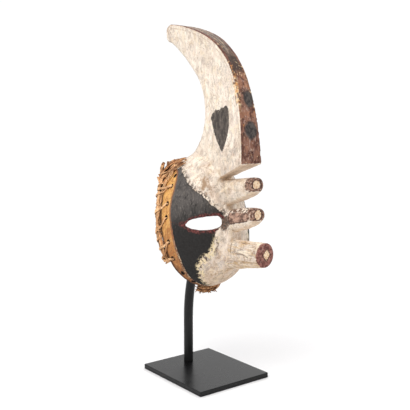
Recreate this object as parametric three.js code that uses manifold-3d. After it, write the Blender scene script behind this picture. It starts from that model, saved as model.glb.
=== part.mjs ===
// Afikpo mask with a crescent crest and three pegs, on its rod and foot plate.
// Millimetres, +Z up. The mask faces -Y; its left cheek is on -X. The origin is
// the middle of the foot plate's underside.
import * as THREE from 'three';
import { mergeVertices } from 'three/addons/utils/BufferGeometryUtils.js';
import Module from 'manifold-3d';

const wasm = await Module();
wasm.setup();

// ---------------------------------------------------------------- dimensions
const GAP = 0.3;                    // clearance between touching pieces

// foot plate and rod
const PLATE_X = 140, PLATE_Y = 160, PLATE_T = 8, PLATE_EDGE = 0.8;
const ROD_D = 16, ROD_Y = 47;       // rod diameter, and its place on the plate
const ROD_STRAIGHT_Z = 85;          // below this the rod is upright
const ROD_R1 = 260, ROD_A1 = 18;    // first gentle forward bend: radius, end angle
const ROD_R2 = 74, ROD_A2 = 82;     // tighter bend inside the mask
const ROD_TIP_Y = -57.4;            // the rod ends just short of the inner wall

// face shell: an egg-shaped dome on a flat rim that leans back
const LEAN = THREE.MathUtils.degToRad(21.2);
const RIM_Y = 23.5, RIM_Z = 250;    // middle of the rim
const RIM_HALF_W = 72, RIM_HALF_H = 107.7, RIM_SHIFT = 1.4, RIM_EGG = 0.236, RIM_POW = 1.97;
const DOME_D = 93.4, DOME_EGG = -0.242, DOME_POW_CHIN = 3.25, DOME_POW_BROW = 2.35, DOME_POW_X = 2.34;
const WALL_RIM = 8.5, WALL_FRONT = 7.5, WALL_BROW = 26;

// the ridge from the brow down over the nose to the mouth: [Z, front Y, half width, back Y]
const NOSE = [[344, -40, 8, -25], [334, -47.6, 9, -33], [313, -56.6, 10, -44], [292, -61, 10, -50],
  [280, -65.5, 10, -52], [267, -75.5, 11, -54], [256, -79.8, 11.5, -55], [242, -78.5, 12.5, -56],
  [228, -78, 15.5, -56], [212, -78, 16.5, -55], [198, -74, 15, -50], [187, -64, 11, -44]];

// pegs: [Y, top Z, bottom Z, half width, squareness of the lower half]
const PEG_BROW = [[-44, 327.2, 284, 12.2, 4.5], [-70, 330, 291.5, 12.2, 4.2], [-98, 333.4, 300, 12.2, 3.6],
  [-118, 335.4, 307.5, 12.2, 2.8], [-126.2, 335.3, 312.4, 12, 2.2], [-128.2, 334.4, 313.6, 11, 2]];
const PEG_NOSE = [[-50, 279, 246, 10.8, 3.6], [-80, 285, 249.8, 10.8, 3.6], [-104, 288.6, 255.6, 11, 3.4],
  [-122, 290.2, 263.4, 11.2, 2.8], [-130.6, 290.2, 269.4, 11, 2.2], [-132.6, 289.3, 270.5, 10.1, 2]];
const PEG_MOUTH = [[-52, 234, 184, 15.5, 2.2], [-76, 236, 190, 15.8, 2.2], [-104, 237.8, 196, 16, 2.1],
  [-136, 239.4, 201.6, 16.2, 2], [-145.4, 240, 203.2, 16.2, 2], [-147, 239, 204.2, 15.2, 2]];

// crest: front and back edges are chains of arcs in the middle plane (Y, Z)
const CREST_FRONT = [
  { c: [271.2, 346.5], r: 385.3, from: 178.75, to: 159.8 },
  { c: [43.5, 420.4], r: 145.7, from: 156.2, to: 113.8 },
  { c: [117, 253.7], r: 327.9, from: 113.4, to: 95.6 }];
const CREST_BACK = [
  { c: [77.2, 433.5], r: 84.0, from: 244, to: 149.5 },
  { c: [240.5, 292.9], r: 300.1, from: 141.8, to: 119.2 }];
const CREST_TIP = [[103.2, 571], 13];               // rounding of the tip
const CREST_UNDER = [[-115, 354.8], [-40, 326.8]];    // the slanted cut under the crest
// half thickness along the front edge, from the cut to the tip, and of the back edge
const CREST_HALF_FRONT = [20.5, 18.6, 16.6, 14.2, 13.0, 13.3, 15.0, 15.2, 13.5, 11.5];
const CREST_HALF_BACK = 6, CREST_BEVEL = 10, CREST_BEVEL_IN = 2.6;

// eye slots: share of the way from nose to temple, upper Z, lower Z
const EYE = [[0.0, 266.8, 260.4], [0.045, 270.8, 256.8], [0.12, 273.3, 254.6], [0.26, 273.8, 253], [0.45, 272.8, 252],
  [0.62, 271, 252.1], [0.8, 268.4, 253.4], [0.92, 264.6, 255.4], [1, 260.4, 257.6]];
const EYE_NOSE_X = 12, EYE_TEMPLE_X = 62.5, EYE_TEMPLE_Y = -33, EYE_SPLAY = 0.58;

// rim rope, lacing holes and lacing cord
const ROPE_R = 4.8, ROPE_CROWN = 3.4, ROPE_CHIN = 2.2, HOLE_R = 2.4, CORD_R = 1.1;
// lacing holes: height along the rim from its middle, depth in from the rim
const HOLES = [[78, 27], [61, 25.5], [34, 19.5], [12, 17.9], [-27.5, 14.7], [-54, 10.8], [-79, 10], [-95, 8.9]];

// ---------------------------------------------------------------- helpers
const V3 = (x, y, z) => new THREE.Vector3(x, y, z);
const lerp = THREE.MathUtils.lerp;

// closed geometry with shared vertices and outward faces
function closed(geometry) {
  let g = geometry.clone();
  for (const name of Object.keys(g.attributes)) if (name !== 'position') g.deleteAttribute(name);
  g = mergeVertices(g, 1e-4);
  const pos = g.attributes.position, src = g.index.array, idx = [];
  for (let i = 0; i < src.length; i += 3) {
    const [a, b, c] = [src[i], src[i + 1], src[i + 2]];
    if (a !== b && b !== c && c !== a) idx.push(a, b, c);
  }
  const p = [V3(), V3(), V3()];
  let volume = 0;
  for (let i = 0; i < idx.length; i += 3) {
    for (let k = 0; k < 3; k++) p[k].fromBufferAttribute(pos, idx[i + k]);
    volume += p[0].dot(p[1].clone().cross(p[2])) / 6;
  }
  if (volume < 0) for (let i = 0; i < idx.length; i += 3) [idx[i], idx[i + 1]] = [idx[i + 1], idx[i]];
  g.setIndex(idx);
  return g;
}

function solid(geometry) {
  const g = closed(geometry);
  return new wasm.Manifold(new wasm.Mesh({
    numProp: 3,
    vertProperties: new Float32Array(g.attributes.position.array),
    triVerts: new Uint32Array(g.index.array),
  }));
}

function shape(manifold) {
  const m = manifold.getMesh();
  const g = new THREE.BufferGeometry();
  g.setAttribute('position', new THREE.BufferAttribute(new Float32Array(m.vertProperties), 3));
  g.setIndex(new THREE.BufferAttribute(new Uint32Array(m.triVerts), 1));
  return g;
}

// a closed skin over rings: ring(k, j) gives point k of ring j
function loft(sides, rings, ring) {
  const g = new THREE.CylinderGeometry(1, 1, 1, sides, rings - 1);
  const pos = g.attributes.position;
  const q = V3();
  const middle = [0, rings - 1].map((j) => {
    const m = V3();
    for (let k = 0; k < sides; k++) m.add(ring(k, j));
    return m.multiplyScalar(1 / sides);
  });
  for (let i = 0; i < pos.count; i++) {
    q.fromBufferAttribute(pos, i);
    const j = Math.round((0.5 - q.y) * (rings - 1));
    if (Math.hypot(q.x, q.z) < 1e-6) { pos.setXYZ(i, ...middle[j === 0 ? 0 : 1].toArray()); continue; }
    const k = (Math.round((Math.atan2(q.x, q.z) / (2 * Math.PI)) * sides) + sides) % sides;
    pos.setXYZ(i, ...ring(k, j).toArray());
  }
  return g;
}

function tube(path, radius, sides, steps) {
  const section = new THREE.Shape();
  for (let i = 0; i < sides; i++) {
    const a = (i / sides) * 2 * Math.PI;
    const [x, y] = [radius * Math.cos(a), radius * Math.sin(a)];
    if (i) section.lineTo(x, y); else section.moveTo(x, y);
  }
  section.closePath();
  return new THREE.ExtrudeGeometry(section, { steps, extrudePath: path, curveSegments: 1 });
}

// ---------------------------------------------------------------- face shell
const rimHalfWidth = (s) => RIM_HALF_W * (1 - RIM_EGG * s)
  * Math.pow(Math.max(0, 1 - Math.pow(Math.abs(s), RIM_POW)), 1 / RIM_POW);
const domePower = (s) => (s > 0 ? DOME_POW_BROW : DOME_POW_CHIN);
const domeDepth = (s) => DOME_D * (1 - DOME_EGG * s)
  * Math.pow(Math.max(0, 1 - Math.pow(Math.abs(s), domePower(s))), 1 / domePower(s));
// the hollow is shallower under the crest, where the wood is left thick
const hollowDepth = (s) => {
  const brow = THREE.MathUtils.smoothstep(s, 0.0, 0.8);
  const full = (DOME_D - WALL_FRONT) * (1 - DOME_EGG * Math.min(s, 0.1))
    * Math.pow(Math.max(0, 1 - Math.pow(Math.abs(s), 2.9)), 1 / 2.9);
  return full - brow * WALL_BROW * (1 - Math.pow(Math.abs(s), 6));
};

// from rim coordinates (X, up along the rim, out of the rim) to the part's own
const place = (x, v, w) => V3(x, RIM_Y + v * Math.sin(LEAN) - w * Math.cos(LEAN),
  RIM_Z + v * Math.cos(LEAN) + w * Math.sin(LEAN));

// distance from the rim's middle to its outline in direction a; inset draws it in
function rimReach(a, inset) {
  const h = RIM_HALF_H - inset;
  const width = (s) => rimHalfWidth(s) * (RIM_HALF_W - inset) / RIM_HALF_W;
  let lo = 0, hi = 1.5 * RIM_HALF_H;
  for (let i = 0; i < 50; i++) {
    const r = (lo + hi) / 2, s = (r * Math.sin(a)) / h;
    if (Math.abs(s) < 1 && Math.abs(r * Math.cos(a)) < width(s)) lo = r; else hi = r;
  }
  return lo;
}

// a dome over the rim's outline; back < 0 carries it straight on behind the rim
function dome(segments, rings, inset, depth, back) {
  const profile = [];
  for (let i = 0; i <= rings; i++) {
    const t = (i / rings) * Math.PI / 2;
    profile.push(new THREE.Vector2(i === 0 ? 0 : Math.sin(t), i === rings ? 0 : Math.cos(t)));
  }
  if (back < 0) profile.push(new THREE.Vector2(1, -0.5));
  profile.push(new THREE.Vector2(0, back < 0 ? -0.5 : 0));
  const g = new THREE.LatheGeometry(profile, segments);
  const pos = g.attributes.position;
  const h = RIM_HALF_H - inset;
  const reach = Array.from({ length: segments }, (_, k) => rimReach((k / segments) * 2 * Math.PI, inset));
  for (let i = 0; i < pos.count; i++) {
    const [x, y, z] = [pos.getX(i), pos.getY(i), pos.getZ(i)];
    const rho = Math.hypot(x, z);
    const k = (Math.round((Math.atan2(z, x) / (2 * Math.PI)) * segments) + segments) % segments;
    const a = (k / segments) * 2 * Math.PI;
    const [px, pv] = [rho * reach[k] * Math.cos(a), rho * reach[k] * Math.sin(a)];
    let w = 0;
    if (y > 1e-4) {
      const s = pv / h;
      const half = rimHalfWidth(s) * (RIM_HALF_W - inset) / RIM_HALF_W;
      w = depth(s) * Math.pow(Math.max(0, 1 - Math.pow(Math.min(1, Math.abs(px) / half), DOME_POW_X)), 1 / DOME_POW_X);
      w = Math.max(w, 0.5);
    } else if (y < -0.1) w = back;
    pos.setXYZ(i, ...place(px, pv + RIM_SHIFT, w).toArray());
  }
  return g;
}

// ---------------------------------------------------------------- crest
// points along a chain of arcs
function chain(arcs, perArc) {
  const out = [];
  for (const arc of arcs) {
    for (let i = 0; i <= perArc; i++) {
      const a = THREE.MathUtils.degToRad(lerp(arc.from, arc.to, i / perArc));
      out.push(new THREE.Vector2(arc.c[0] + arc.r * Math.cos(a), arc.c[1] + arc.r * Math.sin(a)));
    }
  }
  return new THREE.SplineCurve(out);
}

function crest() {
  const front = chain(CREST_FRONT, 5), back = chain(CREST_BACK, 5);
  const [tip, tipR] = CREST_TIP;
  const rows = [];                     // [front point, back point, half front, half back]
  const N = 30;
  const halfFront = (t) => {
    const x = t * (CREST_HALF_FRONT.length - 1), i = Math.min(Math.floor(x), CREST_HALF_FRONT.length - 2);
    return lerp(CREST_HALF_FRONT[i], CREST_HALF_FRONT[i + 1], x - i);
  };
  // a fan of rows from the slanted cut to the first free row; its back ends lie in the head
  const [f0, b0] = CREST_UNDER.map((p) => new THREE.Vector2(...p));
  const b1 = back.getPointAt(0);
  for (let i = 0; i < 5; i++) {
    const t = i / 5, b = b0.clone().lerp(b1, t);
    b.y -= 6 * Math.sin(Math.PI * t);
    rows.push([f0.clone().lerp(front.getPointAt(0.004), t), b, CREST_HALF_FRONT[0], lerp(12, CREST_HALF_BACK + 2, t)]);
  }
  for (let i = 0; i <= N; i++) {
    const t = i / N;
    rows.push([front.getPointAt(lerp(0.006, 1, Math.pow(t, 1.05))), back.getPointAt(t), halfFront(t),
      CREST_HALF_BACK + 2 * Math.pow(1 - t, 6)]);
  }
  // the rounded tip
  const fEnd = rows[rows.length - 1][0], bEnd = rows[rows.length - 1][1];
  const mid = new THREE.Vector2((fEnd.x + bEnd.x) / 2, (fEnd.y + bEnd.y) / 2);
  const reach = tip[0] - mid.x;
  for (let i = 1; i <= 4; i++) {
    const a = (i / 5) * Math.PI / 2;
    const push = new THREE.Vector2(reach * Math.sin(a), 0);
    rows.push([mid.clone().lerp(fEnd, Math.cos(a)).add(push), mid.clone().lerp(bEnd, Math.cos(a)).add(push),
      11.5 * (0.45 + 0.55 * Math.cos(a)), CREST_HALF_BACK * (0.6 + 0.4 * Math.cos(a))]);
  }
  // ring: flat front, bevelled corners, long flat sides, eased back edge
  const ring = (k, j) => {
    const [f, b, hf, hb] = rows[j];
    const long = f.distanceTo(b), bevel = Math.min(CREST_BEVEL, long * 0.3) / long;
    const inset = Math.min(CREST_BEVEL_IN, hf * 0.2);
    const side = (u) => lerp(hf - inset, hb, (u - bevel) / (1 - bevel));
    const u = [0, 0, bevel, 0.5, 1 - 2.5 / long, 1, 1, 1 - 2.5 / long, 0.5, bevel][k];
    const x = [-hf, hf, side(bevel), side(0.5), side(1 - 2.5 / long), hb - 2, -(hb - 2),
      -side(1 - 2.5 / long), -side(0.5), -side(bevel)][k];
    return V3(x, lerp(f.x, b.x, u), lerp(f.y, b.y, u));
  };
  return loft(10, rows.length, ring);
}

// ---------------------------------------------------------------- pegs and nose
function peg(rows, sides) {
  const ring = (k, j) => {
    const [y, top, bottom, half, square] = rows[j];
    const a = (k / sides) * 2 * Math.PI, c = Math.cos(a), s = Math.sin(a);
    // the widest line lies above the middle where a wedge of wood is left under the peg
    const mid = Math.max((top + bottom) / 2, top - half * 1.15), n = s < 0 ? square : 2.1;
    const r = Math.pow(Math.pow(Math.abs(c), n) + Math.pow(Math.abs(s), n), -1 / n);
    return V3(half * r * c, y, mid + (s < 0 ? mid - bottom : top - mid) * r * s);
  };
  return loft(sides, rows.length, ring);
}

function nose() {
  const ring = (k, j) => {
    const [z, y, half, back] = NOSE[j];
    const [x, yy] = [[-half - 1, back], [-half, y + 6], [-half + 3.5, y + 0.6],
      [half - 3.5, y + 0.6], [half, y + 6], [half + 1, back]][k];
    return V3(x, yy, z);
  };
  return loft(6, NOSE.length, ring);
}

// ---------------------------------------------------------------- cuts
function eyeSlot(side) {
  const n = EYE.length, sides = 2 * n;
  const depths = [-100, -60, -20, 6];
  const ring = (k, j) => {
    const y = depths[j], row = k < n ? EYE[k] : EYE[sides - 1 - k];
    const temple = EYE_TEMPLE_X - EYE_SPLAY * (y - EYE_TEMPLE_Y);
    return V3(side * lerp(EYE_NOSE_X, temple, row[0]), y, row[k < n ? 1 : 2]);
  };
  return loft(sides, depths.length, ring);
}

// the rim's outline and its outward direction at height v, on one side
function rimAt(v, side) {
  const s = (v - RIM_SHIFT) / RIM_HALF_H, e = 1e-3;
  const x = rimHalfWidth(s), dx = (rimHalfWidth(s + e) - rimHalfWidth(s - e)) / (2 * e * RIM_HALF_H);
  const l = Math.hypot(1, dx);
  return { x: side * x, v, nx: side / l, nv: -dx / l };
}

// a point near the rim: out is measured square to the outline, w out of the rim plane
const nearRim = (r, out, w) => place(r.x + out * r.nx, r.v + out * r.nv, w);

function lacingHole(v, w, side) {
  const r = rimAt(v, side);
  const a = nearRim(r, -22, w), b = nearRim(r, 8, w);
  const g = new THREE.CylinderGeometry(HOLE_R, HOLE_R, a.distanceTo(b), 8);
  const turn = new THREE.Quaternion().setFromUnitVectors(V3(0, 1, 0), b.clone().sub(a).normalize());
  g.applyQuaternion(turn);
  g.translate(...a.clone().add(b).multiplyScalar(0.5).toArray());
  return g;
}

// ---------------------------------------------------------------- the mask
let mask = solid(dome(50, 12, 0, domeDepth, 0));
for (const g of [nose(), crest(), peg(PEG_BROW, 20), peg(PEG_NOSE, 20), peg(PEG_MOUTH, 22)]) mask = mask.add(solid(g));
mask = mask.subtract(solid(dome(44, 11, WALL_RIM, hollowDepth, -14)));
for (const side of [-1, 1]) {
  mask = mask.subtract(solid(eyeSlot(side)));
  for (const [v, w] of HOLES) mask = mask.subtract(solid(lacingHole(v, w, side)));
}

// ---------------------------------------------------------------- rope and lacing
// angle round the rim, 0 at the left cheek, quarter turn over the crown
function rimPoint(angle, out, w) {
  const a = Math.PI - angle, e = 0.01;
  const at = (t) => { const r = rimReach(t, 0); return new THREE.Vector2(r * Math.cos(t), r * Math.sin(t)); };
  const p = at(a), d = at(a + e).sub(at(a - e)).normalize();
  return place(p.x + out * d.y, p.y - out * d.x + RIM_SHIFT, w);
}
// the angle at which a hole's height is met, on either side
function angleOf(v, side) {
  const r = rimAt(v, side);
  const t = Math.PI - Math.atan2(r.v - RIM_SHIFT, r.x);
  return t > Math.PI * 1.5 ? t - 2 * Math.PI : t;
}
const ROPE_FROM = angleOf(-56, -1), ROPE_TO = angleOf(-102, 1) + 0.42;
const bump = (a, middle, width) => Math.exp(-Math.pow((a - middle) / width, 2));
// the bundle is thick and knotted over the crown and under the chin
const ropeRadius = (a) => ROPE_R + ROPE_CROWN * bump(a, 1.32, 0.36) + ROPE_CHIN * bump(a, ROPE_TO - 0.16, 0.3);
const ROPE_RINGS = 46, ROPE_SIDES = 8;
const rimRope = loft(ROPE_SIDES, ROPE_RINGS, (k, j) => {
  const a = lerp(ROPE_FROM, ROPE_TO, j / (ROPE_RINGS - 1)), r = ropeRadius(a), t = (k / ROPE_SIDES) * 2 * Math.PI;
  return rimPoint(a, 0.2 + (r - ROPE_R) * 0.6 + r * Math.cos(t), -r - GAP + r * Math.sin(t));
});

// the lacing goes out through a hole, back round the rope and in, on to the next hole
const around = [];
const stops = [...HOLES.filter(([v]) => v > -60).reverse().map(([v, w]) => [angleOf(v, -1), w]),
  ...HOLES.map(([v, w]) => [angleOf(v, 1), w])];
const OUT = 2.6, CLEAR = CORD_R + 0.9;
for (let i = 0; i < stops.length; i++) {
  const [a, w] = stops[i], next = stops[i + 1];
  around.push(rimPoint(a, -WALL_RIM - 3.2, w), rimPoint(a, -WALL_RIM / 2, w), rimPoint(a, OUT, w));
  if (!next) { around.push(rimPoint(a + 0.03, OUT + 0.4, w * 0.4)); break; }
  const at = (t) => lerp(a, next[0], t);
  const r = (t) => ropeRadius(at(t)), o = (t) => 0.2 + (r(t) - ROPE_R) * 0.6;
  around.push(rimPoint(at(0.1), OUT + 0.6, w * 0.5));
  if (at(0.25) - a > 0.2) around.push(rimPoint(at(0.17), o(0.17) + r(0.17) + CLEAR - 1.2, -1));
  around.push(rimPoint(at(0.25), o(0.25) + r(0.25) + CLEAR, -r(0.25)),
    rimPoint(at(0.38), o(0.38) + r(0.38) * 0.75, -2 * r(0.38) - CLEAR),
    rimPoint(at(0.6), o(0.6) - r(0.6) * 0.75, -2 * r(0.6) - CLEAR),
    rimPoint(at(0.75), -WALL_RIM - 3.4, -r(0.75) + 1), rimPoint(at(0.9), -WALL_RIM - 3.6, next[1] * 0.5));
}
const lacingPath = new THREE.CatmullRomCurve3(around, false, 'centripetal');

// ---------------------------------------------------------------- rod and plate
const rodPoints = [V3(0, ROD_Y, PLATE_T + GAP), V3(0, ROD_Y, 46), V3(0, ROD_Y, ROD_STRAIGHT_Z)];
{
  let y = ROD_Y, z = ROD_STRAIGHT_Z, from = 0;
  for (const [r, to, n] of [[ROD_R1, ROD_A1, 5], [ROD_R2, ROD_A2, 9]]) {
    for (let i = 1; i <= n; i++) {
      const a = THREE.MathUtils.degToRad(lerp(from, to, i / n)), b = THREE.MathUtils.degToRad(from);
      rodPoints.push(V3(0, y - r * (Math.cos(b) - Math.cos(a)), z + r * (Math.sin(a) - Math.sin(b))));
    }
    const last = rodPoints[rodPoints.length - 1];
    [y, z, from] = [last.y, last.z, to];
  }
  const run = (y - ROD_TIP_Y) / Math.sin(THREE.MathUtils.degToRad(ROD_A2));
  rodPoints.push(V3(0, ROD_TIP_Y, z + run * Math.cos(THREE.MathUtils.degToRad(ROD_A2))));
}
const rodPath = new THREE.CatmullRomCurve3(rodPoints, false, 'centripetal');

const outline = new THREE.Shape();
{
  const [x, y, r] = [PLATE_X / 2 - PLATE_EDGE, PLATE_Y / 2 - PLATE_EDGE, 1.2];
  outline.moveTo(-x + r, -y).lineTo(x - r, -y).absarc(x - r, -y + r, r, -Math.PI / 2, 0)
    .lineTo(x, y - r).absarc(x - r, y - r, r, 0, Math.PI / 2).lineTo(-x + r, y)
    .absarc(-x + r, y - r, r, Math.PI / 2, Math.PI).lineTo(-x, -y + r)
    .absarc(-x + r, -y + r, r, Math.PI, Math.PI * 1.5);
}
const plate = new THREE.ExtrudeGeometry(outline, {
  depth: PLATE_T - 2 * PLATE_EDGE, bevelEnabled: true, bevelThickness: PLATE_EDGE,
  bevelSize: PLATE_EDGE, bevelSegments: 1, curveSegments: 3,
});
plate.translate(0, 0, PLATE_EDGE);

// ---------------------------------------------------------------- scene graph
function piece(name, geometry, color, roughness, metalness) {
  const mesh = new THREE.Mesh(geometry, new THREE.MeshStandardMaterial({ color, roughness, metalness }));
  mesh.name = name;
  return mesh;
}
const stand = new THREE.Group();
stand.add(piece('foot_plate', closed(plate), 0x2b2b2d, 0.5, 0.6),
  piece('support_rod', closed(tube(rodPath, ROD_D / 2, 16, 24)), 0x1c1c1e, 0.45, 0.6));
const carving = new THREE.Group();
carving.add(piece('mask', shape(mask), 0xddd0bd, 0.85, 0),
  piece('rim_rope', closed(rimRope), 0xb4713a, 0.9, 0),
  piece('lacing_cord', closed(tube(lacingPath, CORD_R, 5, Math.round(around.length * 1.5))), 0xa8672f, 0.85, 0));
const part = new THREE.Group();
part.add(stand, carving);
part.updateMatrixWorld(true);

export default part;
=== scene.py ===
import bpy
import math
import numpy as np
from mathutils import Matrix, Vector


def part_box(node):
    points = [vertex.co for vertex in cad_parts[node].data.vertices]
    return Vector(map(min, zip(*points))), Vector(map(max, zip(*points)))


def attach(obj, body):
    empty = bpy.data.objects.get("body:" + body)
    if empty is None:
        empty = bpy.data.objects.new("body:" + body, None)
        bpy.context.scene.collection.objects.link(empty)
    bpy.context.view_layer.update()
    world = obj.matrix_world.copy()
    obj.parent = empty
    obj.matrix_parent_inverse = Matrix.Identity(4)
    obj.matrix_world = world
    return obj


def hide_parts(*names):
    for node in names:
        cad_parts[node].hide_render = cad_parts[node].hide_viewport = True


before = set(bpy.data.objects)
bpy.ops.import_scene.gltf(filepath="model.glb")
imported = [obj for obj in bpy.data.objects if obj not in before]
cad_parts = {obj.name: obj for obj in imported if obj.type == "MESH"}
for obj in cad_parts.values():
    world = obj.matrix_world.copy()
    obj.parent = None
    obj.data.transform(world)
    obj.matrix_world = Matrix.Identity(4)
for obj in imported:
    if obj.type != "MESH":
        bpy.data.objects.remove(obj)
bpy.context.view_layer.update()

scene = bpy.context.scene
MM = 0.001


# ------------------------------------------------------------------ camera and studio
def make_camera():
    data = bpy.data.cameras.new("camera")
    data.lens, data.sensor_width, data.sensor_fit = 60.0, 36.0, "HORIZONTAL"
    data.clip_start, data.clip_end = 0.05, 30.0
    cam = bpy.data.objects.new("camera", data)
    forward = Vector((0.604866, 0.788126, -0.113999)).normalized()
    right = forward.cross(Vector((0, 0, 1))).normalized()
    up = right.cross(forward)
    turn = Matrix((right, up, -forward)).transposed().to_4x4()
    cam.matrix_world = Matrix.Translation(Vector((-0.67479, -0.87907, 0.41061))) @ turn
    scene.collection.objects.link(cam)
    scene.camera = cam


def make_light(name, at, aim, size, power, colour=(1, 1, 1)):
    data = bpy.data.lights.new(name, "AREA")
    data.shape, data.size, data.energy, data.color = "DISK", size, power, colour
    lamp = bpy.data.objects.new(name, data)
    lamp.matrix_world = Matrix.Translation(Vector(at)) @ (Vector(aim) - Vector(at)).to_track_quat("-Z", "Y").to_matrix().to_4x4()
    scene.collection.objects.link(lamp)


make_camera()
make_light("key", (-1.35, -0.55, 2.3), (0, 0, 0.3), 2.3, 50, (1.0, 0.99, 0.975))
make_light("fill", (0.6, -2.4, 1.6), (0, 0, 0.3), 1.4, 6, (1.0, 0.99, 0.98))
make_light("back", (1.5, 1.1, 1.9), (0, 0, 0.15), 1.2, 16, (1.0, 0.99, 0.98))


def make_world():
    """A white room: a bright backdrop behind the object, and softer walls all round."""
    world = bpy.data.worlds.new("studio")
    world.use_nodes = True
    t = world.node_tree
    back = t.nodes["Background"]
    way = t.nodes.new("ShaderNodeTexCoord")
    dot = t.nodes.new("ShaderNodeVectorMath")
    dot.operation = "DOT_PRODUCT"
    dot.inputs[1].default_value = (0.605, 0.788, 0.1)
    wall = t.nodes.new("ShaderNodeMapRange")
    wall.interpolation_type = "SMOOTHSTEP"
    for i, v in zip(range(1, 5), (0.10, 0.60, 0.60, 1.03)):
        wall.inputs[i].default_value = v
    t.links.new(way.outputs["Generated"], dot.inputs[0])
    t.links.new(dot.outputs["Value"], wall.inputs[0])
    t.links.new(wall.outputs[0], back.inputs[1])
    back.inputs[0].default_value = (1.0, 1.0, 1.0, 1)
    scene.world = world


make_world()
scene.view_settings.view_transform = "Standard"
scene.view_settings.look = "None"


# ------------------------------------------------------------------ noise
def hashed(i, j, k, seed):
    """A repeatable number from 0 to 1 for each cell of a lattice."""
    h = (i.astype(np.int64) * 374761393 + j.astype(np.int64) * 668265263 + k.astype(np.int64) * 2147483647 + seed * 1274126177) & 0xFFFFFFFF
    h = ((h ^ (h >> 13)) * 1274126177) & 0xFFFFFFFF
    h = ((h ^ (h >> 16)) * 2246822519) & 0xFFFFFFFF
    return ((h ^ (h >> 15)) & 0xFFFFFF) / float(0xFFFFFF)


def noise3(p, seed=0):
    """Smooth noise, about -1 to 1, on a lattice of side 1."""
    f = np.floor(p)
    i, t = f.astype(np.int64), p - f
    t = t * t * t * (t * (t * 6 - 15) + 10)
    total = np.zeros(len(p))
    for a in (0, 1):
        wa = t[:, 0] if a else 1 - t[:, 0]
        for b in (0, 1):
            wb = t[:, 1] if b else 1 - t[:, 1]
            for c in (0, 1):
                wc = t[:, 2] if c else 1 - t[:, 2]
                total += wa * wb * wc * hashed(i[:, 0] + a, i[:, 1] + b, i[:, 2] + c, seed)
    return total * 2 - 1


def fbm(p, octaves=3, seed=0):
    total, size, norm = np.zeros(len(p)), 1.0, 0.0
    for o in range(octaves):
        total += size * noise3(p * 2.03 ** o + 17.3 * o, seed + o)
        norm += size
        size *= 0.55
    return total / norm


def cells(p, seed=0):
    """Distances to the nearest and next nearest of one point strewn in each lattice cell."""
    f = np.floor(p).astype(np.int64)
    best, second = np.full(len(p), 9.0), np.full(len(p), 9.0)
    for a in (-1, 0, 1):
        for b in (-1, 0, 1):
            for c in (-1, 0, 1):
                i, j, k = f[:, 0] + a, f[:, 1] + b, f[:, 2] + c
                d = np.sqrt((i + hashed(i, j, k, seed) - p[:, 0]) ** 2 + (j + hashed(i, j, k, seed + 1) - p[:, 1]) ** 2
                            + (k + hashed(i, j, k, seed + 2) - p[:, 2]) ** 2)
                second = np.minimum(second, np.maximum(best, d))
                best = np.minimum(best, d)
    return best, second


# ------------------------------------------------------------------ form of the carving
# All lengths here are millimetres; the finished meshes are scaled to metres.
LEAN = math.radians(21.2)
SL, CL = math.sin(LEAN), math.cos(LEAN)
RIM_Y, RIM_Z, RIM_SHIFT = 23.5, 250.0, 1.4
RIM_HALF_W, RIM_HALF_H, RIM_EGG, RIM_POW = 72.0, 107.7, 0.236, 1.97
DOME_D, DOME_EGG, POW_CHIN, POW_BROW, POW_X = 93.4, 0.242, 3.25, 2.35, 2.34
WALL_RIM, WALL_FRONT, WALL_BROW = 8.5, 7.5, 26.0

NOSE = np.array([[344, -40, 8, -25], [334, -47.6, 9, -33], [313, -56.6, 10, -44], [292, -61, 10, -50],
                 [280, -65.5, 10, -52], [267, -75.5, 11, -54], [256, -79.8, 11.5, -55], [242, -78.5, 12.5, -56],
                 [228, -78, 15.5, -56], [212, -78, 16.5, -55], [198, -74, 15, -50], [187, -64, 11, -44]], float)[::-1]
# pegs: Y, top Z, bottom Z, half width, squareness of the lower half
PEG_BROW = np.array([[-44, 327.2, 284, 12.2, 4.5], [-70, 330, 291.5, 12.2, 4.2], [-98, 333.4, 300, 12.2, 3.6],
                     [-118, 335.4, 307.5, 12.2, 2.8], [-126.2, 335.3, 312.4, 12, 2.2], [-128.2, 335.2, 313.4, 12, 2]], float)
PEG_NOSE = np.array([[-50, 279, 246, 10.8, 3.6], [-80, 285, 249.8, 10.8, 3.6], [-104, 288.6, 255.6, 11, 3.4],
                     [-122, 290.2, 263.4, 11.2, 2.8], [-130.6, 290.2, 269.4, 11, 2.2], [-132.6, 290.1, 270.2, 11, 2]], float)
PEG_MOUTH = np.array([[-52, 234, 184, 15.5, 2.2], [-76, 236, 190, 15.8, 2.2], [-104, 237.8, 196, 16, 2.1],
                      [-136, 239.4, 201.6, 16.2, 2], [-145.4, 240, 203.2, 16.2, 2], [-147, 240, 203.3, 16.2, 2]], float)
PEGS = [PEG_BROW, PEG_NOSE, PEG_MOUTH]

CREST_FRONT = [((271.2, 346.5), 385.3, 178.75, 159.8), ((43.5, 420.4), 145.7, 156.2, 113.8), ((117, 253.7), 327.9, 113.4, 97.0)]
CREST_BACK = [((77.2, 433.5), 84.0, 244, 149.5), ((240.5, 292.9), 300.1, 141.8, 120.4)]
CREST_TIP, CREST_UNDER = (97.4, 571.0), ((-115.0, 354.8), (-40.0, 326.8))
CREST_HALF_FRONT = np.array([20.5, 18.6, 16.6, 14.2, 13.0, 13.3, 15.0, 15.2, 13.5, 11.5])
CREST_HALF_BACK, CREST_BEVEL, CREST_BEVEL_IN = 6.0, 10.0, 2.6

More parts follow.
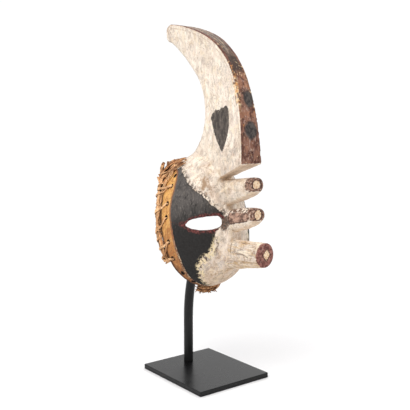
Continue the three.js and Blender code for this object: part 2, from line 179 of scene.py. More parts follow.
EYE = np.array([[0.0, 266.8, 260.4], [0.045, 270.8, 256.8], [0.12, 273.3, 254.6], [0.26, 273.8, 253], [0.45, 272.8, 252],
                [0.62, 271, 252.1], [0.8, 268.4, 253.4], [0.92, 264.6, 255.4], [1, 260.4, 257.6]])
EYE_NOSE_X, EYE_TEMPLE_X, EYE_TEMPLE_Y, EYE_SPLAY = 12.0, 62.5, -33.0, 0.58
HOLES = [(78, 27), (61, 25.5), (34, 19.5), (12, 17.9), (-27.5, 14.7), (-54, 10.8), (-79, 10), (-95, 8.9)]
HOLE_R = 2.4


def smin(a, b, k):
    h = np.clip(0.5 + 0.5 * (b - a) / k, 0, 1)
    return b + (a - b) * h - k * h * (1 - h)


def smax(a, b, k):
    return -smin(-a, -b, k)


def sstep(x, a, b):
    t = np.clip((x - a) / (b - a), 0, 1)
    return t * t * (3 - 2 * t)


def to_rim(y, z):
    dy, dz = y - RIM_Y, z - RIM_Z
    return dy * SL + dz * CL, -dy * CL + dz * SL


def from_rim(x, v, w):
    return np.stack([x, RIM_Y + v * SL - w * CL, RIM_Z + v * CL + w * SL], -1)


def rim_half_width(s):
    return RIM_HALF_W * (1 - RIM_EGG * s) * np.maximum(1 - np.abs(s) ** RIM_POW, 1e-9) ** (1 / RIM_POW)


def dome_depth(s):
    p = np.where(s > 0, POW_BROW, POW_CHIN)
    return DOME_D * (1 + DOME_EGG * s) * np.maximum(1 - np.abs(s) ** p, 1e-9) ** (1 / p)


def hollow_depth(s):
    brow = sstep(s, 0.0, 0.8)
    full = (DOME_D - WALL_FRONT) * (1 + DOME_EGG * np.minimum(s, 0.1)) * np.maximum(1 - np.abs(s) ** 2.9, 1e-9) ** (1 / 2.9)
    return full - brow * WALL_BROW * (1 - np.abs(s) ** 6)


def gauge(x, v, w, inset, depth):
    """How many times the shell must grow about the rim's middle to reach each point: 1 on it."""
    h, k = RIM_HALF_H - inset, (RIM_HALF_W - inset) / RIM_HALF_W
    ax, s0, w = np.abs(x), (v - RIM_SHIFT) / h, np.maximum(w, 0)
    lo = np.abs(s0) * (1 + 1e-6) + 1e-4
    hi = np.maximum(lo * 1.001, 4.0 + 0 * lo)
    for _ in range(17):
        mid = 0.5 * (lo + hi)
        s = s0 / mid
        f = (ax / mid / (k * rim_half_width(s))) ** POW_X + (w / mid / depth(s)) ** POW_X
        out = f > 1
        lo = np.where(out, mid, lo)
        hi = np.where(out, hi, mid)
    return 0.5 * (lo + hi)


def shell_distance(x, v, w, inset, depth):
    g = gauge(x, v, w, inset, depth)
    r = np.sqrt(x * x + (v - RIM_SHIFT) ** 2 + np.maximum(w, 0) ** 2)
    return r * (1 - 1 / g) * 0.93


def arcs(chain, n=40):
    out = []
    for (cy, cz), r, a, b in chain:
        t = np.radians(np.linspace(a, b, n))
        out.append(np.stack([cy + r * np.cos(t), cz + r * np.sin(t)], 1))
    return np.concatenate(out)


def eased(path, spacing=3.0, sigma=3.0):
    """The path again at an even spacing, with its joins rounded off."""
    step = np.hypot(*np.diff(path, axis=0).T)
    along = np.concatenate([[0], np.cumsum(step)])
    at = np.linspace(0, along[-1], int(along[-1] / spacing))
    even = np.stack([np.interp(at, along, path[:, 0]), np.interp(at, along, path[:, 1])], 1)
    r = int(3 * sigma)
    kernel = np.exp(-0.5 * (np.arange(-r, r + 1) / sigma) ** 2)
    kernel /= kernel.sum()
    ends = [2 * even[:1] - even[r:0:-1], even, 2 * even[-1:] - even[-2:-r - 2:-1]]
    padded = np.concatenate(ends)
    return np.stack([np.convolve(padded[:, c], kernel, "valid") for c in (0, 1)], 1)


def crest_outline():
    """Front path from the cut to the tip, and back path from the head to the tip, as (Y, Z) rows."""
    front, back = eased(arcs(CREST_FRONT)), eased(arcs(CREST_BACK))
    mid, reach = (front[-1] + back[-1]) / 2, CREST_TIP[0] - (front[-1][0] + back[-1][0]) / 2
    a = np.linspace(0, np.pi / 2, 14)[1:, None]
    push = np.concatenate([reach * np.sin(a), 0 * a], 1)
    ftip = mid + (front[-1] - mid) * np.cos(a) + push
    btip = mid + (back[-1] - mid) * np.cos(a) ** 0.9 + push
    return np.concatenate([front, ftip]), np.concatenate([back, btip])


def path_distance(py, pz, path):
    """Distance to a polyline, and how far along it the nearest point lies."""
    best, along = np.full(py.shape, 1e9), np.zeros(py.shape)
    d = np.diff(path, axis=0)
    length = np.hypot(d[:, 0], d[:, 1])
    start = np.concatenate([[0], np.cumsum(length)])
    for i in range(len(d)):
        if length[i] < 1e-9:
            continue
        qy, qz = py - path[i, 0], pz - path[i, 1]
        t = np.clip((qy * d[i, 0] + qz * d[i, 1]) / length[i] ** 2, 0, 1)
        e = np.hypot(qy - t * d[i, 0], qz - t * d[i, 1])
        near = e < best
        best = np.where(near, e, best)
        along = np.where(near, start[i] + t * length[i], along)
    return best, along


def inside_polygon(py, pz, poly):
    inside = np.zeros(py.shape, bool)
    q = np.roll(poly, -1, 0)
    for (y0, z0), (y1, z1) in zip(poly, q):
        if z0 == z1:
            continue
        cross = ((z0 > pz) != (z1 > pz)) & (py < (y1 - y0) * (pz - z0) / (z1 - z0) + y0)
        inside ^= cross
    return inside


class CrestMap:
    """Distances in the crest's middle plane on a 1 mm grid, read back by bilinear lookup."""

    def __init__(self):
        self.y0, self.z0, self.h = -128.0, 312.0, 1.0
        ys, zs = np.arange(self.y0, 116, self.h), np.arange(self.z0, 592, self.h)
        Y, Z = np.meshgrid(ys, zs, indexing="ij")
        front, back = crest_outline()
        root = np.array([[38.0, 344.0], [10.0, 331.0], [-16.0, 325.0], CREST_UNDER[1]])
        under = np.array([CREST_UNDER[1], CREST_UNDER[0]])
        poly = np.concatenate([front, back[::-1], root, under])
        df, sf = path_distance(Y, Z, front)
        db, _ = path_distance(Y, Z, back)
        du = path_distance(Y, Z, under)[0]
        dr = path_distance(Y, Z, np.concatenate([back[:1], root]))[0]
        sign = np.where(inside_polygon(Y, Z, poly), -1.0, 1.0)
        edge = np.minimum(np.minimum(df, db), np.minimum(du, dr)) * sign
        total = np.hypot(*np.diff(front, axis=0).T).sum()
        # outside the outline, only the edge that lies nearest turns its own distance's sign
        outside, least = sign > 0, np.minimum(np.minimum(df, db), np.minimum(du, dr))
        own = [np.where(outside & (d == least), d, -d) for d in (df, db, du)]
        self.maps = np.stack([edge, *own, sf / total], -1).astype(np.float32)
        self.length = total

    def read(self, y, z):
        """Rows of (edge, front, back, underside) distances, negative inside, and the share of the way to the tip."""
        fy = np.clip((y - self.y0) / self.h, 0, self.maps.shape[0] - 1.001)
        fz = np.clip((z - self.z0) / self.h, 0, self.maps.shape[1] - 1.001)
        i, j = fy.astype(np.int32), fz.astype(np.int32)
        a, b = (fy - i)[..., None], (fz - j)[..., None]
        m = self.maps
        out = (m[i, j] * (1 - a) + m[i + 1, j] * a) * (1 - b) + (m[i, j + 1] * (1 - a) + m[i + 1, j + 1] * a) * b
        far = np.maximum(np.maximum(self.y0 - y, y - self.y0 - self.h * (m.shape[0] - 1)),
                         np.maximum(self.z0 - z, z - self.z0 - self.h * (m.shape[1] - 1)))
        out[..., 0] = np.maximum(out[..., 0], far)
        return out


def crest_half(t, front, back):
    """Half thickness of the crest at share t of its length, front and back being distances inside its edges."""
    x = np.clip(t, 0, 1) * (len(CREST_HALF_FRONT) - 1)
    hf = np.interp(x, np.arange(len(CREST_HALF_FRONT)), CREST_HALF_FRONT)
    inset = np.minimum(CREST_BEVEL_IN, hf * 0.2)
    f, b = np.maximum(front, 0), np.maximum(back, 0)
    bevel = np.minimum(CREST_BEVEL, (f + b) * 0.3)
    u = np.clip((f - bevel) / np.maximum(f + b - bevel, 1), 0, 1)
    flat = (hf - inset) * (1 - u) + CREST_HALF_BACK * u
    return flat + inset * np.clip(1 - f / np.maximum(bevel, 0.5), 0, 1)


def crest_distance(cm, x, y, z):
    m = cm.read(y, z)
    half = crest_half(m[..., 4], -m[..., 1], -m[..., 2])
    side = np.abs(x) - half
    back_round = 1.2 + 3.0 * sstep(m[..., 2], -14, -3)
    return smax(m[..., 0], side, back_round)


def table(rows, at, column):
    return np.interp(at, rows[:, 0], rows[:, column])


def nose_distance(x, y, z):
    front, half = table(NOSE, z, 1), table(NOSE, z, 2)
    d = smax(np.abs(x) - half - 0.8, front + 0.6 - y, 3.6)
    return smax(d, np.maximum(z - 346, 186 - z), 6)


def peg_distance(rows, x, y, z):
    r = rows[::-1]
    yy = np.clip(y, rows[-1, 0], rows[0, 0])
    top, bottom, half, square = (table(r, yy, c) for c in (1, 2, 3, 4))
    mid = np.maximum((top + bottom) / 2, top - half * 1.15)
    low = z < mid
    n = np.where(low, square, 2.1)
    hz = np.where(low, mid - bottom, top - mid)
    q = ((np.abs(x) / half) ** n + (np.abs(z - mid) / hz) ** n) ** (1 / n)
    lateral = np.hypot(x, z - mid) * (1 - 1 / np.maximum(q, 1e-3))
    lateral = np.where(q < 0.05, -half, lateral)
    dish = 1.1 * np.clip(1 - q * q * 1.5, 0, 1)
    cap = rows[-1, 0] + dish - y
    return smax(smax(lateral, cap, 2.2), y - rows[0, 0], 1.0)


def eye_distance(x, y, z):
    ax = np.abs(x)
    temple = EYE_TEMPLE_X - EYE_SPLAY * (y - EYE_TEMPLE_Y)
    q = (ax - EYE_NOSE_X) / (temple - EYE_NOSE_X)
    top, bottom = np.interp(q, EYE[:, 0], EYE[:, 1]), np.interp(q, EYE[:, 0], EYE[:, 2])
    d = smax(z - top, bottom - z, 1.5)
    ends = np.maximum(EYE_NOSE_X - ax, ax - temple)
    return smax(smax(d, ends, 1.0), y - 6, 1.0)


def rim_frame(v, side):
    """Outline point at height v on one side: x, and the outward direction (nx, nv)."""
    s, e = (v - RIM_SHIFT) / RIM_HALF_H, 1e-3
    x = float(rim_half_width(np.array(s)))
    dx = float(rim_half_width(np.array(s + e)) - rim_half_width(np.array(s - e))) / (2 * e * RIM_HALF_H)
    n = math.hypot(1, dx)
    return side * x, side / n, -dx / n


def holes_distance(x, v, w):
    d = np.full(x.shape, 50.0)
    for side in (-1, 1):
        for hv, hw in HOLES:
            rx, nx, nv = rim_frame(hv, side)
            px, pv = x - rx, v - hv
            along = px * nx + pv * nv
            off = np.hypot(-px * nv + pv * nx, w - hw)
            d = np.minimum(d, np.where((along > -26) & (along < 16), off - HOLE_R, 50))
    return d


class Carving:
    """The whole mask as one signed distance, negative in the wood."""

    def __init__(self):
        self.crest = CrestMap()

    def parts(self, p):
        x, y, z = p[:, 0], p[:, 1], p[:, 2]
        v, w = to_rim(y, z)
        return {
            "shell": shell_distance(x, v, w, 0.0, dome_depth),
            "hollow": shell_distance(x, v, w, WALL_RIM, hollow_depth),
            "crest": crest_distance(self.crest, x, y, z),
            "nose": nose_distance(x, y, z),
            "pegs": [peg_distance(r, x, y, z) for r in PEGS],
            "eye": eye_distance(x, y, z),
            "holes": holes_distance(x, v, w),
            "v": v, "w": w,
        }

    def distance(self, p):
        q = self.parts(p)
        w = q["w"]
        out = smin(q["shell"], q["nose"], 5.0)
        out = smin(out, q["crest"], 7.0)
        for d in q["pegs"]:
            out = smin(out, d, 3.5)
        out = smax(out, -w, 1.6)
        out = smax(out, -q["hollow"], 1.6)
        out = smax(out, -q["eye"], 1.2)
        return smax(out, -q["holes"], 0.6)


def surface_net(field, origin, step):
    """Quads on the zero level of a grid of distances: one point in each cell that the surface crosses."""
    s = field < 0
    nx, ny, nz = field.shape
    c = np.zeros((nx - 1, ny - 1, nz - 1), np.uint8)
    for i in (0, 1):
        for j in (0, 1):
            for k in (0, 1):
                c += s[i:nx - 1 + i, j:ny - 1 + j, k:nz - 1 + k]
    active = (c > 0) & (c < 8)
    cells = np.argwhere(active)
    number = np.full(active.shape, -1, np.int32)
    number[tuple(cells.T)] = np.arange(len(cells))
    total, hits = np.zeros((len(cells), 3)), np.zeros(len(cells))
    corners = [(i, j, k) for i in (0, 1) for j in (0, 1) for k in (0, 1)]
    values = {o: field[tuple((cells + o).T)].astype(np.float64) for o in corners}
    for a in corners:
        for axis in range(3):
            if a[axis]:
                continue
            b = tuple(1 if i == axis else a[i] for i in range(3))
            fa, fb = values[a], values[b]
            cross = (fa < 0) != (fb < 0)
            t = np.where(cross, fa / np.where(cross, fa - fb, 1), 0)
            at = np.array(a, float)[None, :] + t[:, None] * np.eye(3)[axis]
            total += at * cross[:, None]
            hits += cross
    points = (cells + total / hits[:, None]) * step + origin
    quads = []
    for axis in range(3):
        u, v = (axis + 1) % 3, (axis + 2) % 3
        lo = [slice(None)] * 3
        hi = [slice(None)] * 3
        lo[axis], hi[axis] = slice(0, -1), slice(1, None)
        a, b = s[tuple(lo)], s[tuple(hi)]
        e = np.argwhere(a != b)
        e = e[(e[:, u] > 0) & (e[:, v] > 0) & (e[:, u] < field.shape[u] - 1) & (e[:, v] < field.shape[v] - 1)]
        flip = a[tuple(e.T)]
        def at(du, dv):
            o = e.copy()
            o[:, u] -= du
            o[:, v] -= dv
            return number[tuple(o.T)]
        q = np.stack([at(1, 1), at(0, 1), at(0, 0), at(1, 0)], 1)
        q[~flip] = q[~flip][:, ::-1]
        quads.append(q)
    return points, np.concatenate(quads)


def carve(carving, step=1.25, coarse=4):
    """The mask's surface: a coarse pass finds the cells near it, and only those are worked out finely."""
    lo, hi = np.array([0.0, -151.0, 146.0]), np.array([84.0, 110.0, 585.0])
    lo[0] = -step * coarse
    big = step * coarse
    n = np.ceil((hi - lo) / big).astype(int)
    g = [lo[i] + big * (np.arange(n[i]) + 0.5) for i in range(3)]
    P = np.stack(np.meshgrid(*g, indexing="ij"), -1).reshape(-1, 3)
    d = carving.distance(P).reshape(n)
    near = np.abs(d) < big * 1.35 + 2.5
    fine = n * coarse + 1
    field = np.repeat(np.repeat(np.repeat(np.sign(d) * 9, coarse, 0), coarse, 1), coarse, 2).astype(np.float32)
    field = np.pad(field, ((0, 1), (0, 1), (0, 1)), mode="edge")
    mark = np.zeros(fine, bool)
    for c in np.argwhere(near):
        a = c * coarse
        mark[a[0]:a[0] + coarse + 1, a[1]:a[1] + coarse + 1, a[2]:a[2] + coarse + 1] = True
    idx = np.argwhere(mark)
    for i in range(0, len(idx), 400000):
        part = idx[i:i + 400000]
        field[tuple(part.T)] = carving.distance(lo + part * step)
    # the form is even about x = 0, so the other half is the mirror of this one
    zero = coarse
    half = field[zero:]
    field = np.concatenate([half[:0:-1], half], 0)
    origin = np.array([-(half.shape[0] - 1) * step, lo[1], lo[2]])
    return surface_net(field, origin, step), len(idx)


# ------------------------------------------------------------------ meshes
def vertex_normals(points, quads):
    n = np.cross(points[quads[:, 2]] - points[quads[:, 0]], points[quads[:, 3]] - points[quads[:, 1]])
    out = np.zeros_like(points)
    for k in range(4):
        for c in range(3):
            out[:, c] += np.bincount(quads[:, k], n[:, c], len(points))
    return out / np.maximum(np.linalg.norm(out, axis=1), 1e-9)[:, None]


def build_mesh(name, points_mm, faces, corners):
    """A mesh object from rows of corner numbers, each face with the same number of corners."""
    me = bpy.data.meshes.new(name)
    me.vertices.add(len(points_mm))
    me.vertices.foreach_set("co", (points_mm * MM).astype(np.float32).ravel())
    me.loops.add(faces.size)
    me.loops.foreach_set("vertex_index", faces.astype(np.int32).ravel())
    me.polygons.add(len(faces))
    me.polygons.foreach_set("loop_start", np.arange(len(faces), dtype=np.int32) * corners)
    me.polygons.foreach_set("use_smooth", np.ones(len(faces), bool))
    me.update(calc_edges=True)
    me.validate()
    ob = bpy.data.objects.new(name, me)
    scene.collection.objects.link(ob)
    return ob


def read_points(me):
    co = np.empty(len(me.vertices) * 3, np.float32)
    me.vertices.foreach_get("co", co)
    return co.reshape(-1, 3).astype(np.float64) / MM


def write_points(me, points_mm):
    me.vertices.foreach_set("co", (points_mm * MM).astype(np.float32).ravel())
    me.update()


def set_attribute(me, name, values):
    a = me.attributes.new(name, "FLOAT", "POINT")
    a.data.foreach_set("value", np.asarray(values, np.float32))


def decimated(ob, triangles):
    """The object with at most that many triangles."""
    count = sum(len(p.vertices) - 2 for p in ob.data.polygons)
    m = ob.modifiers.new("fewer", "DECIMATE")
    m.ratio = min(1.0, triangles / count)
    dg = bpy.context.evaluated_depsgraph_get()
    me = bpy.data.meshes.new_from_object(ob.evaluated_get(dg))
    ob.modifiers.clear()
    old = ob.data
    ob.data = me
    me.name = ob.name
    bpy.data.meshes.remove(old)
    me.polygons.foreach_set("use_smooth", np.ones(len(me.polygons), bool))
    return ob




# ------------------------------------------------------------------ where the paint lies
# Face outlines are (angle, height): the angle round the face from its middle line (0) to the rim (90 degrees), and the
# height in millimetres along the rim.
ANGLE_MM = 1.35
BLACK_TOP = [(60.5, 79.3), (56.8, 68.3), (52.5, 55.5), (47.5, 44.9), (41.8, 35.2), (37.3, 30.3), (31.9, 21.4), (26.5, 11.5),
             (20.6, 4.9), (15.9, -2.0), (10.8, -4.4)]
BLACK_NOSE = [(11.5, -12.0), (14.0, -20.0), (19.0, -27.0)]
BLACK_LOW = [(24.2, -30.5), (23.2, -39.6), (25.7, -48.0), (30.0, -57.3), (33.9, -62.3), (41.6, -64.6), (48.4, -70.3),
             (52.8, -76.6), (54.3, -84.6), (60.0, -90.7), (61.3, -97.9), (66.2, -104.3), (78, -110)]
BAND_EDGE = np.array([(-115, 4), (-104, 8), (-96.5, 11.8), (-87.5, 15.4), (-75.8, 19.8), (-63.2, 24.6), (-50.5, 27.4), (-36, 28.7),
                      (-19.9, 29.4), (-3.7, 29.5), (12.2, 29.7), (27.8, 30.8), (40.2, 32.9), (50.7, 35.9), (66.5, 37.1),
                      (81, 32.7), (89, 25), (97, 9), (110, 2)], float)
STAIN = [(36.5, 33.0), (35.4, 48.4), (30.0, 59.0), (24.8, 50.5), (23.6, 33.0), (27.6, 32.0), (29.8, 38.0), (32.6, 33.0)]
# carved lines on the near side of the mouth's peg: where it meets the face, and along its side
GROOVES = [[(2, -81, 239.5), (-3.1, -80.1, 236.2), (-7.7, -78.9, 234.9), (-13.4, -82.2, 228.3), (-15.4, -83.5, 222.7), (-16.6, -84.5, 214), (-16.2, -85, 206)],
           [(-6, -84, 236.5), (-7.5, -100, 236.0), (-9, -118, 233.6), (-9.4, -130, 232.6), (-11, -141, 231.6)],
           [(-16.4, -96, 218), (-16.2, -110, 220), (-15.4, -124, 217)],
           [(-14.4, -88, 206.5), (-14.6, -104, 204.5), (-13.4, -120, 205.4), (-12.5, -134, 203.6)]]
# outlines on the crest's flank, (Y, Z)
LEAF = [(-27.0, 433.9), (-25.8, 425.4), (-32.3, 406.6), (-41.6, 391.3), (-53.9, 376.2), (-59.7, 371.3), (-64.8, 381.0),
        (-72.0, 395.6), (-76.0, 411.4), (-74.5, 429.3), (-71.2, 440.0), (-65.8, 442.2), (-50.8, 437.5), (-37.0, 433.9)]
# black ovals on the crest's front: middle X, middle Z, half width, half height
OVALS = [(5.5, 452, 10, 13.5), (2.0, 405, 12.5, 13.5)]
# end dots of the pegs: X, Z, half width, half height
DOTS = [(-2.5, 325.4, 7.6, 6.2), (-2.8, 280.6, 6.4, 7.0), (2.2, 222.2, 6.4, 8.6)]


def outline_distance(u, v, outline):
    """Signed distance to a closed outline in a plane, negative inside."""
    poly = np.array(outline, float)
    ring = np.concatenate([poly, poly[:1]])
    d, _ = path_distance(u, v, ring)
    return np.where(inside_polygon(u, v, poly), -d, d)


def groove_distance(p):
    """Distance to the carved lines, for the points near the mouth's peg."""
    out = np.full(len(p), 30.0)
    near = (p[:, 0] < 6) & (p[:, 1] < -70) & (p[:, 2] > 195) & (p[:, 2] < 248)
    q, best = p[near], np.full(near.sum(), 30.0)
    for line in GROOVES:
        line = np.array(line, float)
        for a, b in zip(line[:-1], line[1:]):
            t = np.clip(((q - a) @ (b - a)) / ((b - a) @ (b - a)), 0, 1)
            best = np.minimum(best, np.linalg.norm(q - a - t[:, None] * (b - a), axis=1))
    out[near] = best
    return out


def face_angle(p, v, w):
    s = np.clip((v - RIM_SHIFT) / RIM_HALF_H, -0.985, 0.985)
    return np.degrees(np.arctan2(np.abs(p[:, 0]) / rim_half_width(s), np.maximum(w, 0) / dome_depth(s)))


def paint_fields(carving, p):
    """Signed distances in millimetres, negative inside, for each painted region at the points p."""
    q = carving.parts(p)
    x, y, z = p[:, 0], p[:, 1], p[:, 2]
    v, w = q["v"], q["w"]
    shell = q["shell"]
    u = face_angle(p, v, w) * ANGLE_MM
    flip = np.where(x > 0, 1.0, 0.0)
    # how far a point is from being on the face's own outer skin
    off = (np.abs(shell) - 3.0) * 4
    on_peg = np.minimum.reduce(q["pegs"])
    out = {}
    black = [(a * ANGLE_MM, b) for a, b in BLACK_TOP + BLACK_NOSE + BLACK_LOW] + [(100 * ANGLE_MM, -112), (100 * ANGLE_MM, 85), (62 * ANGLE_MM, 88)]
    wander = flip * (14.0 + 2.2 * fbm(p / 14, 2, 61))
    out["p_black"] = np.maximum(outline_distance(u, v, black) + wander, off)
    # the nose's own flank inside the eye's corner is dark too
    nose_side = (np.sqrt(((np.abs(x) - 14) / 7) ** 2 + ((y + 69) / 8.5) ** 2 + ((z - 262.5 + 0.5 * (y + 69)) / 12.5) ** 2) - 1) * 6
    out["p_nose"] = nose_side
    out["p_band"] = np.maximum(w - np.interp(v, BAND_EDGE[:, 0], BAND_EDGE[:, 1]), off)
    corner = np.sqrt(((np.abs(x) - 60.5) / 5.5) ** 2 + ((z - 260.0) / 3.4) ** 2) * 3.6
    out["p_eye"] = np.maximum(np.minimum(q["eye"], corner), off)
    out["p_stain"] = outline_distance(u, v, [(a * ANGLE_MM, b) for a, b in STAIN]) + flip * 30
    m = carving.crest.read(y, z)
    half = crest_half(m[..., 4], -m[..., 1], -m[..., 2])
    on_crest = np.maximum(m[..., 0], 0)
    front_depth = np.maximum(-m[..., 1], 0)
    strip = front_depth - np.maximum(half - np.abs(x), 0)
    underside = -m[..., 3]
    out["p_strip"] = np.where(underside < 2.2, np.maximum(strip, 2.2 - underside), strip) + on_crest
    out["p_strip"] = np.where(z < 322, 30, out["p_strip"])
    out["p_streak"] = 0.5 + 0.5 * fbm(np.stack([out["p_strip"] * 0.36, m[..., 4] * 11, x * 0 + 3.3], 1), 3, 83)
    out["p_level"] = z
    out["p_chip"] = np.abs(out["p_strip"] - 1.0) + np.where(x > 0, 30, 0)
    comb = (noise3(np.stack([x / 9, y / 3.4, z / 12], 1), 87) * 3.2 + noise3(np.stack([x / 9, y / 1.6, z / 7], 1), 89) * 1.5) * sstep(z, 418, 432) * sstep(y, -68, -54)
    out["p_leaf"] = np.maximum(outline_distance(y, z, LEAF) + comb, np.where(front_depth > 3, -20, 5)) + np.where(z < 350, 40, 0)
    ovals = np.full(len(p), 30.0)
    for ox, oz, hw, hh in OVALS:
        ovals = np.minimum(ovals, (np.sqrt(((x - ox) / hw) ** 2 + ((z - oz) / hh) ** 2) - 1) * min(hw, hh))
    out["p_oval"] = ovals
    # pegs: brown ends and the brown flank of the nose's peg
    ends = [np.maximum(y + 112.5, 315.5 - z), np.maximum(y + 116.0, 272.0 - z), y + 143.2]
    brown, dot = np.full(len(p), 30.0), np.full(len(p), 30.0)
    for d, e, rows, (dx, dz, hw, hh) in zip(q["pegs"], ends, PEGS, DOTS):
        close = np.abs(d) < 2.5
        brown = np.where(close, np.minimum(brown, e), brown)
        at_end = y < rows[-1, 0] + 3.2
        if rows is PEG_MOUTH:
            ring = (np.abs(x - dx) / hw + np.abs(z - dz) / hh - 1) * 4.5
        else:
            ring = (np.sqrt(((x - dx) / hw) ** 2 + ((z - dz) / hh) ** 2) - 1) * min(hw, hh)
        dot = np.where(close & at_end, np.minimum(dot, ring), dot)
    out["p_peg"], out["p_dot"] = brown, dot
    flank = np.maximum(np.maximum(y + 72.5 + np.maximum(270 - z, 0) * 0.5, -118.5 - y), 262.5 + (-84.5 - y) * 0.21 - z)
    out["p_patch"] = np.where(np.abs(q["pegs"][1]) < 2.5, flank, 30)
    out["p_back"] = np.maximum(-m[..., 2], on_crest)
    out["p_rim"] = w
    out["p_inside"] = np.where(w > 1.0, 4.0 + shell, 4.0 - w * 3)
    out["p_inside"] = np.where(w <= 1.0, -3.0, out["p_inside"])
    out["p_hole"] = q["holes"]
    out["p_height"] = v
    out["p_along"] = m[..., 4]
    out["p_flank"] = on_peg
    out["p_groove"] = groove_distance(p)
    return out


def hollows_and_edges(carving, p, n):
    """How shut in each point is (0 open, 1 deep in a corner), and how much it stands on a sharp edge."""
    shut = np.zeros(len(p))
    for reach in (3.0, 7.0, 14.0):
        shut += np.clip(1 - carving.distance(p + n * reach) / reach, 0, 1) / 3
    edge = np.clip(1.0 + carving.distance(p - n * 3.0) / 3.0, 0, 1)
    return shut, edge




# ------------------------------------------------------------------ carved and painted relief
def relief(carving, p, n):
    """Height in millimetres, along the surface normal, of tool marks, streaks, crust, chips and grooves."""
    q = carving.parts(p)
    x, y, z, v, w = p[:, 0], p[:, 1], p[:, 2], q["v"], q["w"]
    f = paint_fields(carving, p)
    shut, edge = hollows_and_edges(carving, p, n)
    inside = sstep(-f["p_inside"], -0.5, 1.0)
    outer = 1 - inside
    h = 0.42 * fbm(p / 26, 2, 1) * outer
    # broad flat cuts of the knife, longer than wide
    f1, f2 = cells(p / [11, 11, 21] + 0.35 * fbm(p / 9, 1, 5)[:, None], 11)
    h += outer * (0.30 * f1 - 0.12) * np.where(f["p_flank"] < 1.5, 0.5, 1.0) * np.where(f["p_strip"] < 2, 0.35, 1.0)
    # inside, deeper scoops of the adze
    g1, _ = cells(p / [15, 12, 19] + 0.3 * fbm(p / 12, 1, 8)[:, None], 21)
    h += inside * (1.25 * g1 * g1 - 0.45)
    # white crust: thin plates with broken edges, and fine streaks drawn down through it
    dark = np.minimum.reduce([f["p_black"], f["p_leaf"], f["p_strip"] * 1.0, f["p_peg"], f["p_band"]])
    white = sstep(dark, -0.6, 1.0) * outer
    plate = fbm(p / [7.0, 7.0, 11.0], 3, 31)
    calm = 1 - 0.65 * sstep(v, 4, 30) * sstep(-z, -392, -356)
    h += white * calm * 0.22 * sstep(plate, -0.08, 0.12)
    streak = fbm(p / [1.9, 1.9, 13.0], 2, 41)
    h -= white * calm * 0.28 * sstep(-streak, 0.16, 0.42)
    h += white * calm * 0.13 * fbm(p / 2.3, 2, 47)
    # dark paint is thin and shows the tool marks as shallow upright scratches
    scratch = fbm(p / [1.5, 1.5, 16.0], 2, 51)
    h -= (1 - white) * outer * 0.16 * sstep(-scratch, 0.12, 0.4)
    h += (1 - white) * outer * 0.07 * fbm(p / 3.0, 2, 53)
    # crumbled border of the white below the cheek
    crumble = np.exp(-((f["p_black"] - 2.5) / 6.0) ** 2) * sstep(-v, 30, 52) * outer
    h += crumble * 0.95 * (sstep(fbm(p / 4.4, 2, 57), -0.04, 0.10) - 0.4)
    # small losses along the sharp edges
    bite = sstep(fbm(p / [7, 7, 9], 2, 67), 0.05, 0.42) * sstep(edge, 0.15, 0.6) * outer
    h -= 0.85 * bite * np.where(((f["p_strip"] < 4) & (x > 2)) | (y > 62), 0.25, 1.0)
    wear = np.exp(-(f["p_strip"] / 4.0) ** 2) * sstep(z, 405, 440) * sstep(-z, -520, -490) * np.where(x < 0, 1.0, 0.15)
    h -= wear * 0.75 * sstep(fbm(p / [4.2, 4.2, 7.0], 2, 71), -0.08, 0.24)
    # grain along the mouth's peg, and the groove cut round its root
    turn = np.arctan2(z - 219, x)
    grain = noise3(np.stack([turn * 3.2, 0 * y + 3.1, y / 46], 1), 81)
    grain2 = noise3(np.stack([turn * 9.0, 0 * y + 1.7, y / 26], 1), 83)
    on_mouth = (np.abs(q["pegs"][2]) < 1.6) & (y < -84) & (y > -144.6)
    h += on_mouth * (0.55 * grain - 0.30 * sstep(-grain2, 0.1, 0.5))
    h -= 1.0 * np.exp(-(f["p_groove"] / 1.1) ** 2) * outer
    # a narrow bevel beside the crest's dark front
    bevel = np.clip(1 - f["p_strip"] / 6.5, 0, 1) * (f["p_strip"] > 0) * sstep(z, 328, 336) * sstep(-z, -486, -462)
    h -= 1.15 * bevel * np.clip(np.abs(n[:, 0]) * 1.3, 0, 1)
    # the wooden band is scraped smooth, a hair lower than the paint
    h = np.where(f["p_band"] < 0, h * 0.55 - 0.10, h)
    # end faces are cut across the grain
    end = np.where((f["p_peg"] < 0) & (n[:, 1] < -0.8), 1.0, 0.0)
    h += end * 0.16 * fbm(p / 1.8, 2, 91)
    h -= 0.5 * sstep(-f["p_dot"], -0.4, 0.6) * sstep(fbm(p / 3.1, 2, 95), -0.2, 0.2)
    return h


